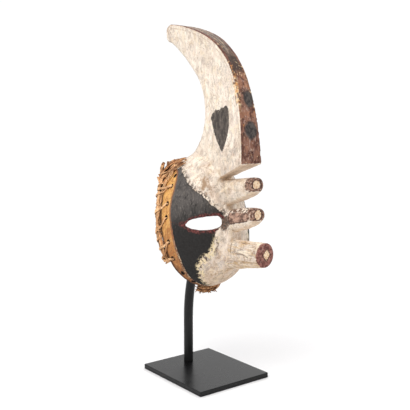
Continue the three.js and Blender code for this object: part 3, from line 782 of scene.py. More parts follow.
def make_mask():
    carving = Carving()
    points, quads = carve(carving, 1.25)[0]
    n = vertex_normals(points, quads)
    # even out the net, then put it back on the true surface
    total, count = np.zeros_like(points), np.bincount(quads.ravel(), minlength=len(points)).astype(float)
    middle = points[quads].mean(1)
    for k in range(4):
        for c in range(3):
            total[:, c] += np.bincount(quads[:, k], middle[:, c], len(points))
    points = total / count[:, None]
    n = vertex_normals(points, quads)
    points -= n * np.clip(carving.distance(points), -0.5, 0.5)[:, None]
    n = vertex_normals(points, quads)
    points += n * relief(carving, points, n)[:, None]
    lo, hi = [np.array(c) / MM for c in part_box("mask")]
    points = np.clip(points, lo + 0.02, hi - 0.02)
    ob = build_mesh("carved_mask", points, quads, 4)
    ob = decimated(ob, 196000)
    me = ob.data
    p = read_points(me)
    normals = np.empty(len(p) * 3, np.float32)
    me.vertex_normals.foreach_get("vector", normals)
    normals = normals.reshape(-1, 3).astype(np.float64)
    for name, values in paint_fields(carving, p).items():
        set_attribute(me, name, np.clip(values, -60, 60) if name not in ("p_height", "p_level") else values)
    shut, edge = hollows_and_edges(carving, p, normals)
    set_attribute(me, "p_shut", shut)
    set_attribute(me, "p_edge", edge)
    # how far each point faces down, which sets the painted shade under things
    set_attribute(me, "p_under", -normals[:, 2])
    # height above the axis of the nose's peg, which slopes as it goes forward
    set_attribute(me, "p_tall", np.clip(p[:, 2] - (270.5 + (-84.5 - p[:, 1]) * 0.10), -60, 60))
    return ob




# ------------------------------------------------------------------ materials
class Shader:
    """Short names for the shader nodes that the finishes are built from."""

    def __init__(self, name):
        self.material = bpy.data.materials.new(name)
        self.material.use_nodes = True
        self.tree = self.material.node_tree
        self.nodes = self.tree.nodes
        self.nodes.clear()
        self.end = self.nodes.new("ShaderNodeOutputMaterial")
        self.bsdf = self.nodes.new("ShaderNodeBsdfPrincipled")
        self.tree.links.new(self.bsdf.outputs[0], self.end.inputs[0])
        self.at = self.nodes.new("ShaderNodeTexCoord").outputs["Object"]

    def put(self, socket, value):
        if hasattr(value, "is_output") or isinstance(value, bpy.types.NodeSocket):
            self.tree.links.new(value, socket)
        else:
            socket.default_value = value

    def attribute(self, name):
        n = self.nodes.new("ShaderNodeAttribute")
        n.attribute_name = name
        return n.outputs["Fac"]

    def scaled(self, sx, sy, sz, shift=0.0, vector=None):
        n = self.nodes.new("ShaderNodeMapping")
        n.vector_type = "POINT"
        self.put(n.inputs["Vector"], vector or self.at)
        k = 1.0 if vector else 1 / MM
        n.inputs["Scale"].default_value = (sx * k, sy * k, sz * k)
        n.inputs["Location"].default_value = (shift, shift * 1.7, shift * 0.6)
        return n.outputs[0]

    def noise(self, size, detail=3.0, rough=0.55, shift=0.0, warp=0.0, vector=None):
        """Noise from 0 to 1 whose features are about size millimetres, or (x, y, z) millimetres, across."""
        sx, sy, sz = size if isinstance(size, tuple) else (size, size, size)
        at = self.scaled(1 / sx, 1 / sy, 1 / sz, shift, vector)
        n = self.nodes.new("ShaderNodeTexNoise")
        self.put(n.inputs["Vector"], at)
        n.inputs["Scale"].default_value = 1.0
        n.inputs["Detail"].default_value = detail
        n.inputs["Roughness"].default_value = rough
        n.inputs["Distortion"].default_value = warp
        return n.outputs["Fac"]

    def level(self):
        """Height above the ground in millimetres."""
        n = self.nodes.new("ShaderNodeSeparateXYZ")
        self.put(n.inputs[0], self.at)
        return self.math("MULTIPLY", n.outputs[2], 1 / MM)

    def math(self, op, a, b=0.0, c=None, clamp=False):
        n = self.nodes.new("ShaderNodeMath")
        n.operation, n.use_clamp = op, clamp
        self.put(n.inputs[0], a)
        self.put(n.inputs[1], b)
        if c is not None:
            self.put(n.inputs[2], c)
        return n.outputs[0]

    def step(self, value, low, high):
        """0 at low, 1 at high, smooth between; low may be the larger."""
        n = self.nodes.new("ShaderNodeMapRange")
        n.interpolation_type = "SMOOTHSTEP"
        n.clamp = True
        self.put(n.inputs["Value"], value)
        if low < high:
            n.inputs["From Min"].default_value, n.inputs["From Max"].default_value = low, high
        else:
            n.inputs["From Min"].default_value, n.inputs["From Max"].default_value = high, low
            n.inputs["To Min"].default_value, n.inputs["To Max"].default_value = 1.0, 0.0
        return n.outputs["Result"]

    def mix(self, share, a, b):
        n = self.nodes.new("ShaderNodeMix")
        n.data_type = "RGBA"
        n.clamp_factor = True
        self.put(n.inputs[0], share)
        self.put(n.inputs[6], a if not isinstance(a, tuple) else (*a, 1.0))
        self.put(n.inputs[7], b if not isinstance(b, tuple) else (*b, 1.0))
        return n.outputs[2]

    def blend(self, share, a, b):
        """The same for plain numbers."""
        n = self.nodes.new("ShaderNodeMix")
        n.data_type = "FLOAT"
        n.clamp_factor = True
        self.put(n.inputs[0], share)
        self.put(n.inputs[2], a)
        self.put(n.inputs[3], b)
        return n.outputs[0]

    def times(self, *values):
        out = values[0]
        for v in values[1:]:
            out = self.math("MULTIPLY", out, v)
        return out

    def add(self, *values):
        out = values[0]
        for v in values[1:]:
            out = self.math("ADD", out, v)
        return out

    def finish(self, colour, roughness, height=None, bump_mm=0.3, specular=0.35):
        self.put(self.bsdf.inputs["Base Color"], colour)
        self.put(self.bsdf.inputs["Roughness"], roughness)
        self.bsdf.inputs["Specular IOR Level"].default_value = specular
        if height is not None:
            n = self.nodes.new("ShaderNodeBump")
            n.inputs["Strength"].default_value = 1.0
            n.inputs["Distance"].default_value = bump_mm * MM
            self.put(n.inputs["Height"], height)
            self.tree.links.new(n.outputs[0], self.bsdf.inputs["Normal"])
        return self.material


def srgb(r, g, b):
    """A colour given as 0 to 255 display values, made linear."""
    return tuple(((c / 255) / 12.92) if c <= 10 else (((c / 255) + 0.055) / 1.055) ** 2.4 for c in (r, g, b))


def mask_material():
    s = Shader("painted_wood_finish")
    black, strip, leaf, band = (s.attribute(n) for n in ("p_black", "p_strip", "p_leaf", "p_band"))
    eye, peg, dot, oval = (s.attribute(n) for n in ("p_eye", "p_peg", "p_dot", "p_oval"))
    inside, hole, stain, nose = (s.attribute(n) for n in ("p_inside", "p_hole", "p_stain", "p_nose"))
    shut, edge, height, along = (s.attribute(n) for n in ("p_shut", "p_edge", "p_height", "p_along"))
    patch_at, back, rim, shade = (s.attribute(n) for n in ("p_patch", "p_back", "p_rim", "p_shade"))
    coarse = s.math("SUBTRACT", s.noise(9, 3, 0.6, 3.0), 0.5)
    ragged = s.math("SUBTRACT", s.noise(2.6, 3, 0.65, 11.0), 0.5)

    # white earth: cream with pinkish grey and yellow clouds, bare streaks that run down it, and wandering cracks
    under, side_peg = s.attribute("p_under"), s.attribute("p_flank")
    cream = s.mix(s.step(s.noise((15, 15, 26), 2.5, 0.5, 1.0, 0.4), 0.42, 0.60), srgb(246, 233, 217), srgb(231, 216, 199))
    pinkish = s.step(s.noise((17, 17, 24), 2.5, 0.5, 7.0, 0.6), 0.50, 0.60)
    cream = s.mix(s.math("MULTIPLY", pinkish, 0.38), cream, srgb(220, 200, 188))
    yellow = s.step(s.noise((12, 12, 16), 3, 0.5, 17.0, 0.6), 0.53, 0.62)
    cream = s.mix(s.math("MULTIPLY", yellow, 0.40), cream, srgb(234, 213, 178))
    grey = s.step(s.noise((10, 10, 20), 3, 0.5, 21.0, 0.9), 0.52, 0.62)
    cream = s.mix(s.math("MULTIPLY", grey, 0.50), cream, srgb(192, 179, 168))
    brow = s.times(s.step(height, 100.0, 72.0), s.step(height, -10.0, 12.0))
    bright = s.step(s.noise((9, 9, 17), 3, 0.55, 23.0, 0.5), 0.52, 0.60)
    cream = s.mix(s.times(bright, s.blend(brow, 0.72, 0.34)), cream, srgb(252, 241, 226))
    where = s.step(s.noise((20, 20, 28), 2.5, 0.5, 5.0), 0.40, 0.58)
    line = s.step(s.noise((3.4, 3.4, 9), 3.5, 0.64, 9.0, 1.6), 0.58, 0.65)
    fine = s.step(s.noise((1.6, 1.6, 4.5), 3, 0.6, 15.0, 0.6), 0.60, 0.70)
    blot = s.step(s.noise((4.6, 4.6, 7.0), 3.5, 0.66, 19.0, 0.8), 0.60, 0.66)
    bends = s.math("ABSOLUTE", s.math("SUBTRACT", s.noise((13, 13, 20), 4, 0.62, 27.0, 1.4), 0.5))
    crack = s.times(s.step(bends, 0.020, 0.007), s.step(s.noise(18, 3, 0.6, 28.0), 0.42, 0.52))
    bends_b = s.math("ABSOLUTE", s.math("SUBTRACT", s.noise((8, 8, 11), 4, 0.62, 29.0, 1.2), 0.48))
    crack = s.math("MAXIMUM", crack, s.times(s.step(bends_b, 0.018, 0.006), s.step(s.noise(20, 3, 0.6, 30.0), 0.46, 0.56)))
    # painted shade under the chin: the white turns greyer and darker towards the bottom, besides its own grey patches
    chin = s.step(height, -22.0, -70.0)
    cream = s.mix(s.times(chin, 0.60), cream, srgb(219, 204, 192))
    # grey marks: streaks, blots and cracks, with the painted shade under the chin added in below
    marks_and_chin_shade = s.math("MAXIMUM", s.times(line, s.blend(where, 0.30, 1.0), 0.62), s.times(fine, s.blend(where, 0.05, 0.25)))
    marks_and_chin_shade = s.math("MAXIMUM", marks_and_chin_shade, s.times(blot, 0.58))
    marks_and_chin_shade = s.math("MAXIMUM", marks_and_chin_shade, s.times(crack, 0.72))
    marks_and_chin_shade = s.add(marks_and_chin_shade, s.times(chin, s.step(s.noise((8.0, 8.0, 12), 3.5, 0.62, 25.0, 0.9), 0.45, 0.57), 0.58), s.times(chin, 0.10))
    marks_and_chin_shade = s.add(marks_and_chin_shade, s.times(brow, s.step(s.noise((12, 12, 15), 3, 0.55, 26.0, 0.9), 0.44, 0.60), 0.36), s.times(brow, 0.06))
    white = s.mix(s.math("MULTIPLY", marks_and_chin_shade, 0.86), cream, s.mix(s.step(s.noise(17, 2, 0.5, 32.0), 0.44, 0.56), srgb(147, 132, 120), srgb(163, 132, 106)))
    pale = s.times(chin, s.step(s.noise((7, 7, 9), 3.5, 0.62, 33.0, 0.8), 0.54, 0.61), 0.5)
    white = s.mix(pale, white, srgb(240, 220, 190))
    # painted shade: the white turns tan-brown on surfaces that face down
    white = s.mix(s.times(s.step(s.add(under, s.times(ragged, 0.30), s.times(coarse, 0.30)), 0.25, 0.75), 0.36), white, srgb(210, 176, 136))
    # browner and darker where the surface is shut in, in hollows and corners
    hollow_darkening = s.step(s.add(shut, s.times(coarse, 0.35)), 0.28, 0.80)
    white = s.mix(s.math("MULTIPLY", hollow_darkening, 0.56), white, srgb(182, 150, 114))
    worn = s.times(s.step(s.add(edge, s.times(ragged, 1.1)), 0.40, 0.70), 0.60)
    white = s.mix(worn, white, s.mix(s.step(s.noise(4.0, 3, 0.6, 34.0), 0.42, 0.58), srgb(228, 198, 152), srgb(176, 138, 100)))
    white = s.mix(s.times(s.step(s.add(s.math("ABSOLUTE", s.math("SUBTRACT", back, 1.3)), s.times(ragged, 1.8)), 1.3, 0.3), 0.55), white, srgb(132, 118, 108))
    white = s.mix(s.times(s.step(s.add(stain, s.times(ragged, 5.0), s.times(coarse, 3.0)), 1.0, -2.6), s.blend(s.step(s.noise((6, 6, 7), 3.5, 0.64, 93.0, 0.6), 0.42, 0.54), 0.42, 0.88)), white, srgb(154, 124, 94))
    # streaks along the pegs
    level_at = s.attribute("p_level")
    on_peg = s.times(s.step(side_peg, 1.6, 0.4), s.blend(s.step(level_at, 258.0, 250.0), 0.28, 1.0))
    lengthways = s.noise((5.0, 40, 5.0), 3, 0.6, 92.0, 0.5)
    white = s.mix(s.times(on_peg, s.step(lengthways, 0.50, 0.60), 0.56), white, srgb(206, 172, 124))
    white = s.mix(s.times(on_peg, s.step(s.noise((3.0, 24, 3.0), 3, 0.6, 94.0, 0.5), 0.57, 0.63), 0.62), white, srgb(140, 108, 80))
    white = s.mix(s.times(on_peg, s.step(lengthways, 0.46, 0.38), 0.60), white, srgb(250, 236, 212))
    groove = s.step(s.add(s.attribute("p_groove"), s.times(ragged, 0.9)), 1.6, 0.6)
    white = s.mix(s.times(groove, 0.66), white, srgb(98, 76, 58))
    # broken paint beside the strip, where the edge is worn, and a broken darker line about 6.4 mm from the strip, along
    # the bevel's edge
    thin_line = s.times(s.step(strip, 3.4, 1.4), s.step(s.noise((3, 3, 7), 4, 0.7, 99.0), 0.48, 0.58))
    white = s.mix(s.times(thin_line, 0.55), white, srgb(188, 150, 124))
    beside_line = s.step(s.math("ABSOLUTE", s.math("SUBTRACT", s.add(strip, s.times(ragged, 2.0)), 6.4)), 1.3, 0.4)
    white = s.mix(s.times(beside_line, s.step(s.noise((5, 5, 18), 3, 0.6, 100.0), 0.40, 0.54), 0.55), white, srgb(176, 144, 118))

    # charcoal black, dusty and scratched above the eye and lighter there with a painted sheen of the light from above,
    # deeper below
    dust_and_sheen = s.times(s.step(height, -14.0, 26.0), s.step(s.noise((7, 7, 14), 4, 0.65, 31.0), 0.22, 0.60))
    char = s.mix(dust_and_sheen, srgb(38, 36, 35), srgb(88, 83, 80))
    char = s.mix(s.times(s.step(s.noise((1.6, 1.6, 16), 3, 0.6, 35.0), 0.54, 0.66), s.step(height, -30.0, 40.0), 0.46), char, srgb(138, 130, 124))
    char = s.mix(s.times(s.step(s.noise((5, 5, 9), 4, 0.7, 36.0), 0.58, 0.70), s.step(height, -20.0, 20.0), 0.45), char, srgb(118, 108, 98))
    char = s.mix(s.times(s.step(s.noise(3.0, 4, 0.7, 37.0), 0.58, 0.72), 0.40), char, srgb(32, 30, 29))
    char = s.mix(s.times(s.step(s.add(s.math("ABSOLUTE", black), s.times(ragged, 3.0)), 1.6, 0.2), 0.6), char, srgb(38, 33, 30))

    # dark red-brown, scuffed to grey-pink, worn through to orange wood along its near edge
    streaks = s.attribute("p_streak")
    red = s.mix(s.step(s.noise((8, 8, 14), 3.5, 0.6, 41.0, 0.4), 0.40, 0.60), srgb(90, 56, 47), srgb(140, 100, 83))
    red = s.mix(s.times(s.step(s.noise((3.4, 3.4, 7.0), 3.5, 0.66, 43.0, 0.6), 0.54, 0.62), s.step(strip, 0.0, -9.0), 0.62), red, srgb(188, 162, 148))
    red = s.mix(s.times(s.step(s.noise((5, 5, 8), 3.5, 0.66, 45.0, 0.5), 0.56, 0.62), 0.75), red, srgb(52, 36, 32))
    high = s.step(along, 0.42, 0.56)
    outer_grey = s.times(high, s.step(s.add(strip, s.times(coarse, 8.0)), -3.0, -6.5))
    grey_paint = s.mix(s.step(streaks, 0.38, 0.62), srgb(86, 75, 69), srgb(152, 136, 122))
    grey_paint = s.mix(s.times(s.step(s.noise((6, 6, 10), 3.5, 0.66, 46.0), 0.54, 0.62), 0.8), grey_paint, srgb(58, 52, 50))
    red = s.mix(s.math("MULTIPLY", outer_grey, 0.88), red, grey_paint)
    def beside(middle, reach):
        return s.step(s.math("ABSOLUTE", s.math("SUBTRACT", along, middle)), reach, reach * 0.4)

    around = s.add(beside(0.358, 0.050), beside(0.220, 0.035))
    tan = s.step(s.add(s.noise((9, 9, 12), 3.5, 0.62, 44.0, 0.5), s.times(around, 0.14)), 0.60, 0.70)
    red = s.mix(s.times(tan, 0.54), red, srgb(172, 122, 94))
    burnt = s.times(beside(0.445, 0.070), s.step(s.add(strip, s.times(coarse, 6.0)), -3.0, -5.5))
    red = s.mix(s.times(burnt, 0.85), red, srgb(60, 52, 48))
    inner_red = s.times(s.step(along, 0.44, 0.50), s.step(s.add(strip, s.times(coarse, 4.0)), -5.2, -3.4))
    red = s.mix(s.times(inner_red, 0.75), red, s.mix(s.step(streaks, 0.40, 0.60), srgb(78, 42, 38), srgb(122, 76, 66)))
    near_edge = s.times(s.step(along, 0.19, 0.25), s.step(along, 0.50, 0.40), s.step(strip, -8.0, -1.0))
    red = s.mix(s.times(near_edge, s.step(s.noise((4.6, 4.6, 6.0), 3.5, 0.66, 48.0), 0.42, 0.56), 0.85), red, srgb(66, 40, 30))
    specks = s.step(s.add(s.noise((4.2, 4.2, 6.0), 3.5, 0.66, 47.0, 0.6), s.times(near_edge, 0.10)), 0.62, 0.66)
    orange = s.mix(s.step(s.noise(7, 3, 0.6, 49.0), 0.44, 0.56), srgb(198, 136, 84), srgb(240, 210, 168))
    red = s.mix(s.math("MULTIPLY", specks, 0.92), red, orange)
    oval_black = s.mix(s.step(s.noise(5.0, 3, 0.6, 50.0), 0.4, 0.6), srgb(54, 50, 49), srgb(86, 79, 75))
    red = s.mix(s.step(s.add(oval, s.times(ragged, 3.0), s.times(coarse, 5.0)), 2.4, -3.2), red, oval_black)

    # bare wood of the rim's band
    ochre = s.mix(s.step(s.add(height, s.times(coarse, 60.0)), -62.0, 40.0), srgb(176, 120, 72), srgb(228, 174, 100))
    ochre = s.mix(s.times(s.step(s.noise((5.2, 5.2, 13), 3.5, 0.62, 51.0), 0.48, 0.64), 0.60), ochre, srgb(182, 122, 72))
    ochre = s.mix(s.times(s.step(s.noise((4.2, 4.2, 7.0), 3.5, 0.66, 52.0), 0.56, 0.66), 0.50), ochre, srgb(236, 196, 132))
    ochre = s.mix(s.times(s.step(s.noise((3.8, 3.8, 6.0), 3.5, 0.66, 53.0), 0.57, 0.68), 0.65), ochre, srgb(118, 76, 50))
    ochre = s.mix(s.times(s.step(s.add(band, s.times(ragged, 3.0), s.times(coarse, 2.0)), -5.2, -2.2), 0.88), ochre, srgb(116, 78, 66))
    ochre = s.mix(s.times(s.step(s.noise((7, 7, 12), 3.5, 0.62, 58.0, 0.6), 0.52, 0.60), 0.62), ochre, srgb(170, 108, 62))
    bends_c = s.math("ABSOLUTE", s.math("SUBTRACT", s.noise((7, 7, 26), 3, 0.6, 59.0, 0.8), 0.5))
    ochre = s.mix(s.times(s.step(bends_c, 0.016, 0.005), 0.60), ochre, srgb(112, 70, 42))
    ochre = s.mix(s.times(s.step(height, -30.0, -84.0), s.step(s.noise((6, 6, 8), 3.5, 0.62, 57.0), 0.44, 0.56), 0.72), ochre, srgb(118, 78, 52))
    border = s.times(s.step(height, -24.0, -38.0), s.step(s.math("ABSOLUTE", band), 4.2, 1.6))
    ochre = s.mix(s.times(border, s.step(s.noise((3.4, 3.4, 5.0), 3.5, 0.66, 56.0), 0.46, 0.54), 0.85), ochre, srgb(206, 184, 150))
    ochre = s.mix(s.times(border, s.step(s.noise((3.0, 3.0, 4.4), 3.5, 0.66, 55.0), 0.53, 0.59), 0.90), ochre, srgb(62, 44, 34))
    # painted shade: the band darkens to deep brown along the rim, where the raffia bundle lies against it
    ochre = s.mix(s.times(s.step(s.add(rim, s.times(ragged, 5.0), s.times(coarse, 4.0)), 8.0, 3.2), 0.88), ochre, srgb(66, 38, 24))
    # painted shade: the drilled holes and their rims are near-black brown
    ochre = s.mix(s.step(s.add(hole, s.times(ragged, 1.4)), 2.5, 0.9), ochre, srgb(40, 26, 18))

    # bare dark wood inside
    wood = s.mix(s.step(s.noise((3.0, 3.0, 26), 5, 0.6, 61.0, 0.4), 0.36, 0.66), srgb(92, 64, 44), srgb(140, 102, 70))
    wood = s.mix(s.times(s.step(s.noise((1.1, 1.1, 20), 3, 0.6, 63.0), 0.54, 0.68), 0.6), wood, srgb(58, 40, 30))
    wood = s.mix(s.times(s.step(s.noise(16, 4, 0.6, 65.0), 0.5, 0.7), 0.45), wood, srgb(70, 52, 42))

    low_rag = s.step(height, -40.0, -64.0)
    spatter = s.times(s.step(black, 9.0, 1.5), s.step(s.noise((4.4, 4.4, 5.0), 3.5, 0.68, 66.0), 0.47, 0.54), s.step(height, -30.0, -16.0))
    white = s.mix(s.times(spatter, 0.85), white, srgb(74, 60, 50))
    black_edge = s.add(black, s.times(coarse, s.blend(low_rag, 4.0, 10.0)), s.times(ragged, s.blend(low_rag, 5.0, 10.0)))
    colour = s.mix(s.step(black_edge, 0.3, -0.3), white, char)
    crumbs = s.times(s.step(height, -32.0, -50.0), s.step(s.math("ABSOLUTE", s.math("SUBTRACT", black, 2.5)), 8.5, 3.5))
    colour = s.mix(s.times(crumbs, s.step(s.noise((6.0, 6.0, 7.0), 3.5, 0.66, 67.0, 0.4), 0.48, 0.53), 0.85), colour, srgb(236, 216, 176))
    colour = s.mix(s.times(crumbs, s.step(s.noise((5.6, 5.6, 6.4), 3.5, 0.68, 69.0, 0.4), 0.54, 0.58), 0.88), colour, srgb(74, 58, 46))
    nose_in = s.step(s.add(nose, s.times(ragged, 5.5), s.times(coarse, 4.0)), 0.8, -1.2)
    colour = s.mix(s.times(nose_in, 0.92), colour, s.mix(s.step(s.noise(3.2, 3.5, 0.66, 70.0), 0.42, 0.60), srgb(52, 42, 38), srgb(120, 94, 78)))
    leaf_top = s.step(level_at, 414.0, 426.0)
    comb = s.math("SUBTRACT", s.noise((14, 2.6, 9), 3, 0.6, 71.0), 0.5)
    leaf_in = s.step(s.add(leaf, s.times(ragged, 5.0), s.times(comb, leaf_top, 6.5)), 0.4, -0.5)
    colour = s.mix(leaf_in, colour, s.mix(s.step(s.noise((6, 6, 9), 3.5, 0.6, 73.0), 0.38, 0.62), srgb(66, 60, 56), srgb(98, 89, 83)))
    colour = s.mix(s.times(leaf_in, s.step(s.add(leaf, s.times(ragged, 3.0)), -2.4, -0.8), 0.7), colour, srgb(52, 46, 42))
    colour = s.mix(s.times(leaf_in, s.step(s.add(s.noise((2.4, 2.4, 4.0), 3, 0.7, 74.0), s.times(s.step(leaf, -7.0, -1.0), 0.05)), 0.61, 0.68), 0.55), colour, srgb(168, 152, 134))
    lid = s.step(s.add(eye, s.times(coarse, 8.0), s.times(ragged, 5.0)), 5.8, 3.2)
    lid_red = s.mix(s.step(s.noise(2.6, 3, 0.6, 75.0), 0.40, 0.60), srgb(70, 36, 34), srgb(122, 66, 62))
    lid_red = s.mix(s.times(s.step(s.noise(3.2, 3.5, 0.68, 76.0), 0.50, 0.57), 0.85), lid_red, srgb(44, 34, 32))
    colour = s.mix(s.times(lid, s.step(s.add(black, s.times(ragged, 4.0)), 3.5, 1.0)), colour, lid_red)
    colour = s.mix(s.step(s.add(strip, s.times(ragged, 2.4), s.times(coarse, 1.4)), 1.0, 0.3), colour, red)
    # paint broken off the near edge of the crest, down to yellow and orange wood with dark rims
    chipped = s.times(s.step(along, 0.225, 0.265), s.step(along, 0.400, 0.360), s.step(s.attribute("p_chip"), 9.0, 3.5))
    colour = s.mix(s.times(chipped, s.step(s.noise((5.6, 5.6, 6.6), 3.5, 0.68, 96.0, 0.4), 0.49, 0.53), 0.92), colour, s.mix(s.step(s.noise(4.4, 3, 0.6, 97.0), 0.44, 0.56), srgb(208, 150, 94), srgb(244, 218, 176)))
    colour = s.mix(s.times(chipped, s.step(s.noise((5.0, 5.0, 6.0), 3.5, 0.68, 98.0, 0.4), 0.54, 0.58), 0.90), colour, srgb(84, 50, 36))
    # the nose's peg: soft brown, with broken paint along its top
    top_at = s.step(s.attribute("p_tall"), 7.5, 11.5)
    chips_at = s.noise((4.2, 5.2, 4.2), 3.5, 0.66, 77.0, 0.4)
    top_chip = s.times(top_at, s.step(chips_at, 0.47, 0.53))
    flank_in = s.step(s.add(patch_at, s.times(coarse, 3.0), s.times(ragged, 3.0)), 0.5, -0.5)
    peg_brown = s.mix(s.step(s.noise((6.5, 11.0, 6.5), 3.5, 0.62, 78.0, 0.3), 0.40, 0.60), srgb(80, 50, 40), srgb(186, 148, 128))
    peg_brown = s.mix(s.times(s.step(s.noise((2.2, 5.0, 2.2), 4, 0.66, 80.0), 0.58, 0.66), 0.8), peg_brown, srgb(66, 40, 32))
    peg_brown = s.mix(s.step(patch_at, -2.6, -0.8), peg_brown, srgb(70, 42, 34))
    peg_brown = s.mix(s.times(top_at, 0.75), peg_brown, srgb(82, 56, 42))
    colour = s.mix(s.times(flank_in, s.blend(top_chip, 0.94, 0.0)), colour, peg_brown)
    peg_in = s.step(s.add(peg, s.times(coarse, 4.0), s.times(ragged, 5.5)), 0.4, -0.4)
    end_brown = s.mix(s.step(s.noise((4.4, 4.4, 4.4), 3.5, 0.65, 87.0), 0.40, 0.58), srgb(84, 56, 48), srgb(158, 124, 106))
    end_brown = s.mix(s.times(s.step(s.noise(3.4, 3.5, 0.66, 88.0), 0.56, 0.61), 0.85), end_brown, srgb(208, 186, 168))
    end_brown = s.mix(s.times(s.step(s.noise(3.8, 3.5, 0.66, 89.0), 0.55, 0.61), 0.85), end_brown, srgb(52, 36, 32))
    mouth_end = s.step(level_at, 250.0, 240.0)
    end_brown = s.mix(s.times(mouth_end, 0.75), end_brown, s.mix(s.step(s.noise((5, 5, 5), 3, 0.6, 90.0), 0.42, 0.58), srgb(98, 48, 46), srgb(160, 108, 98)))
    colour = s.mix(peg_in, colour, end_brown)
    chip = s.mix(s.step(s.noise(2.6, 3, 0.7, 79.0), 0.46, 0.58), srgb(242, 220, 188), srgb(216, 174, 136))
    chip = s.mix(s.times(s.step(s.noise(1.8, 3, 0.7, 82.0), 0.60, 0.66), 0.8), chip, srgb(150, 98, 78))
    colour = s.mix(s.times(s.step(s.add(dot, s.times(ragged, 4.6), s.times(coarse, 2.0)), 2.2, 0.9), 0.75), colour, srgb(74, 46, 40))
    colour = s.mix(s.step(s.add(dot, s.times(ragged, 4.6), s.times(coarse, 2.0)), 0.5, -0.5), colour, chip)
    colour = s.mix(s.step(s.add(band, s.times(coarse, 3.0), s.times(ragged, 1.6)), 0.3, -0.3), colour, ochre)
    colour = s.mix(s.step(s.add(inside, s.times(ragged, 1.4)), 0.5, -0.5), colour, wood)
    colour = s.mix(s.times(shade, 0.85), colour, srgb(46, 28, 18))

    rough = s.blend(s.step(s.noise(3.0, 3, 0.6, 81.0), 0.3, 0.7), 0.70, 0.92)
    grain = s.add(s.times(s.noise(0.8, 3, 0.6, 83.0), 0.6), s.times(s.noise((0.7, 0.7, 9), 3, 0.6, 85.0), 0.8), s.times(line, -0.5), s.times(blot, -0.4))
    return s.finish(colour, rough, grain, 0.32, 0.28)




# ------------------------------------------------------------------ raffia
ROPE_R, ROPE_CROWN, ROPE_CHIN, ROPE_GAP = 4.8, 3.4, 2.2, 0.3


def rim_reach(a):
    """Distance from the rim's middle to its outline in each direction a."""
    lo, hi = np.zeros_like(a), np.full_like(a, 1.5 * RIM_HALF_H)
    for _ in range(40):
        r = (lo + hi) / 2
        s = r * np.sin(a) / RIM_HALF_H
        ok = (np.abs(s) < 1) & (np.abs(r * np.cos(a)) < rim_half_width(np.clip(s, -1, 1)))
        lo, hi = np.where(ok, r, lo), np.where(ok, hi, r)
    return lo


def rim_point(angle, out, w):
    """Points beside the rim: angle 0 at the left cheek and a quarter turn over the crown, out from the rim, w in front of its plane."""
    angle, out, w = np.broadcast_arrays(np.asarray(angle, float), np.asarray(out, float), np.asarray(w, float))
    a, e = math.pi - angle, 0.01

    def at(t):
        r = rim_reach(t)
        return np.stack([r * np.cos(t), r * np.sin(t)], -1)

    p, d = at(a), at(a + e) - at(a - e)
    d /= np.linalg.norm(d, axis=-1)[..., None]
    return from_rim(p[..., 0] + out * d[..., 1], p[..., 1] - out * d[..., 0] + RIM_SHIFT, w)


def angle_of(v, side):
    x, _, _ = rim_frame(v, side)
    t = math.pi - math.atan2(v - RIM_SHIFT, x)
    return t - 2 * math.pi if t > math.pi * 1.5 else t


ROPE_FROM, ROPE_TO = angle_of(-56, -1), angle_of(-102, 1) + 0.42


def bump(a, middle, width):
    return np.exp(-((a - middle) / width) ** 2)


def rope_radius(a):
    return ROPE_R + ROPE_CROWN * bump(a, 1.32, 0.36) + ROPE_CHIN * bump(a, ROPE_TO - 0.16, 0.3)


def rope_middle(a):
    """The bundle's middle: how far out from the rim, and behind it. It tucks in under the far side of the chin."""
    r = rope_radius(a)
    tuck = 4.0 * sstep(a, 3.5, 4.0) * (1 - sstep(a, 4.46, 4.60))
    return 0.2 + (r - ROPE_R) * 0.6 - tuck, -r - ROPE_GAP


def rope_surface(a, turn, share):
    """A point in the bundle: turn round it (0 outward, a quarter turn to the front), share of its radius from its middle."""
    r = rope_radius(a)
    out, w = rope_middle(a)
    return rim_point(a, out + share * r * np.cos(turn), w + share * r * np.sin(turn))


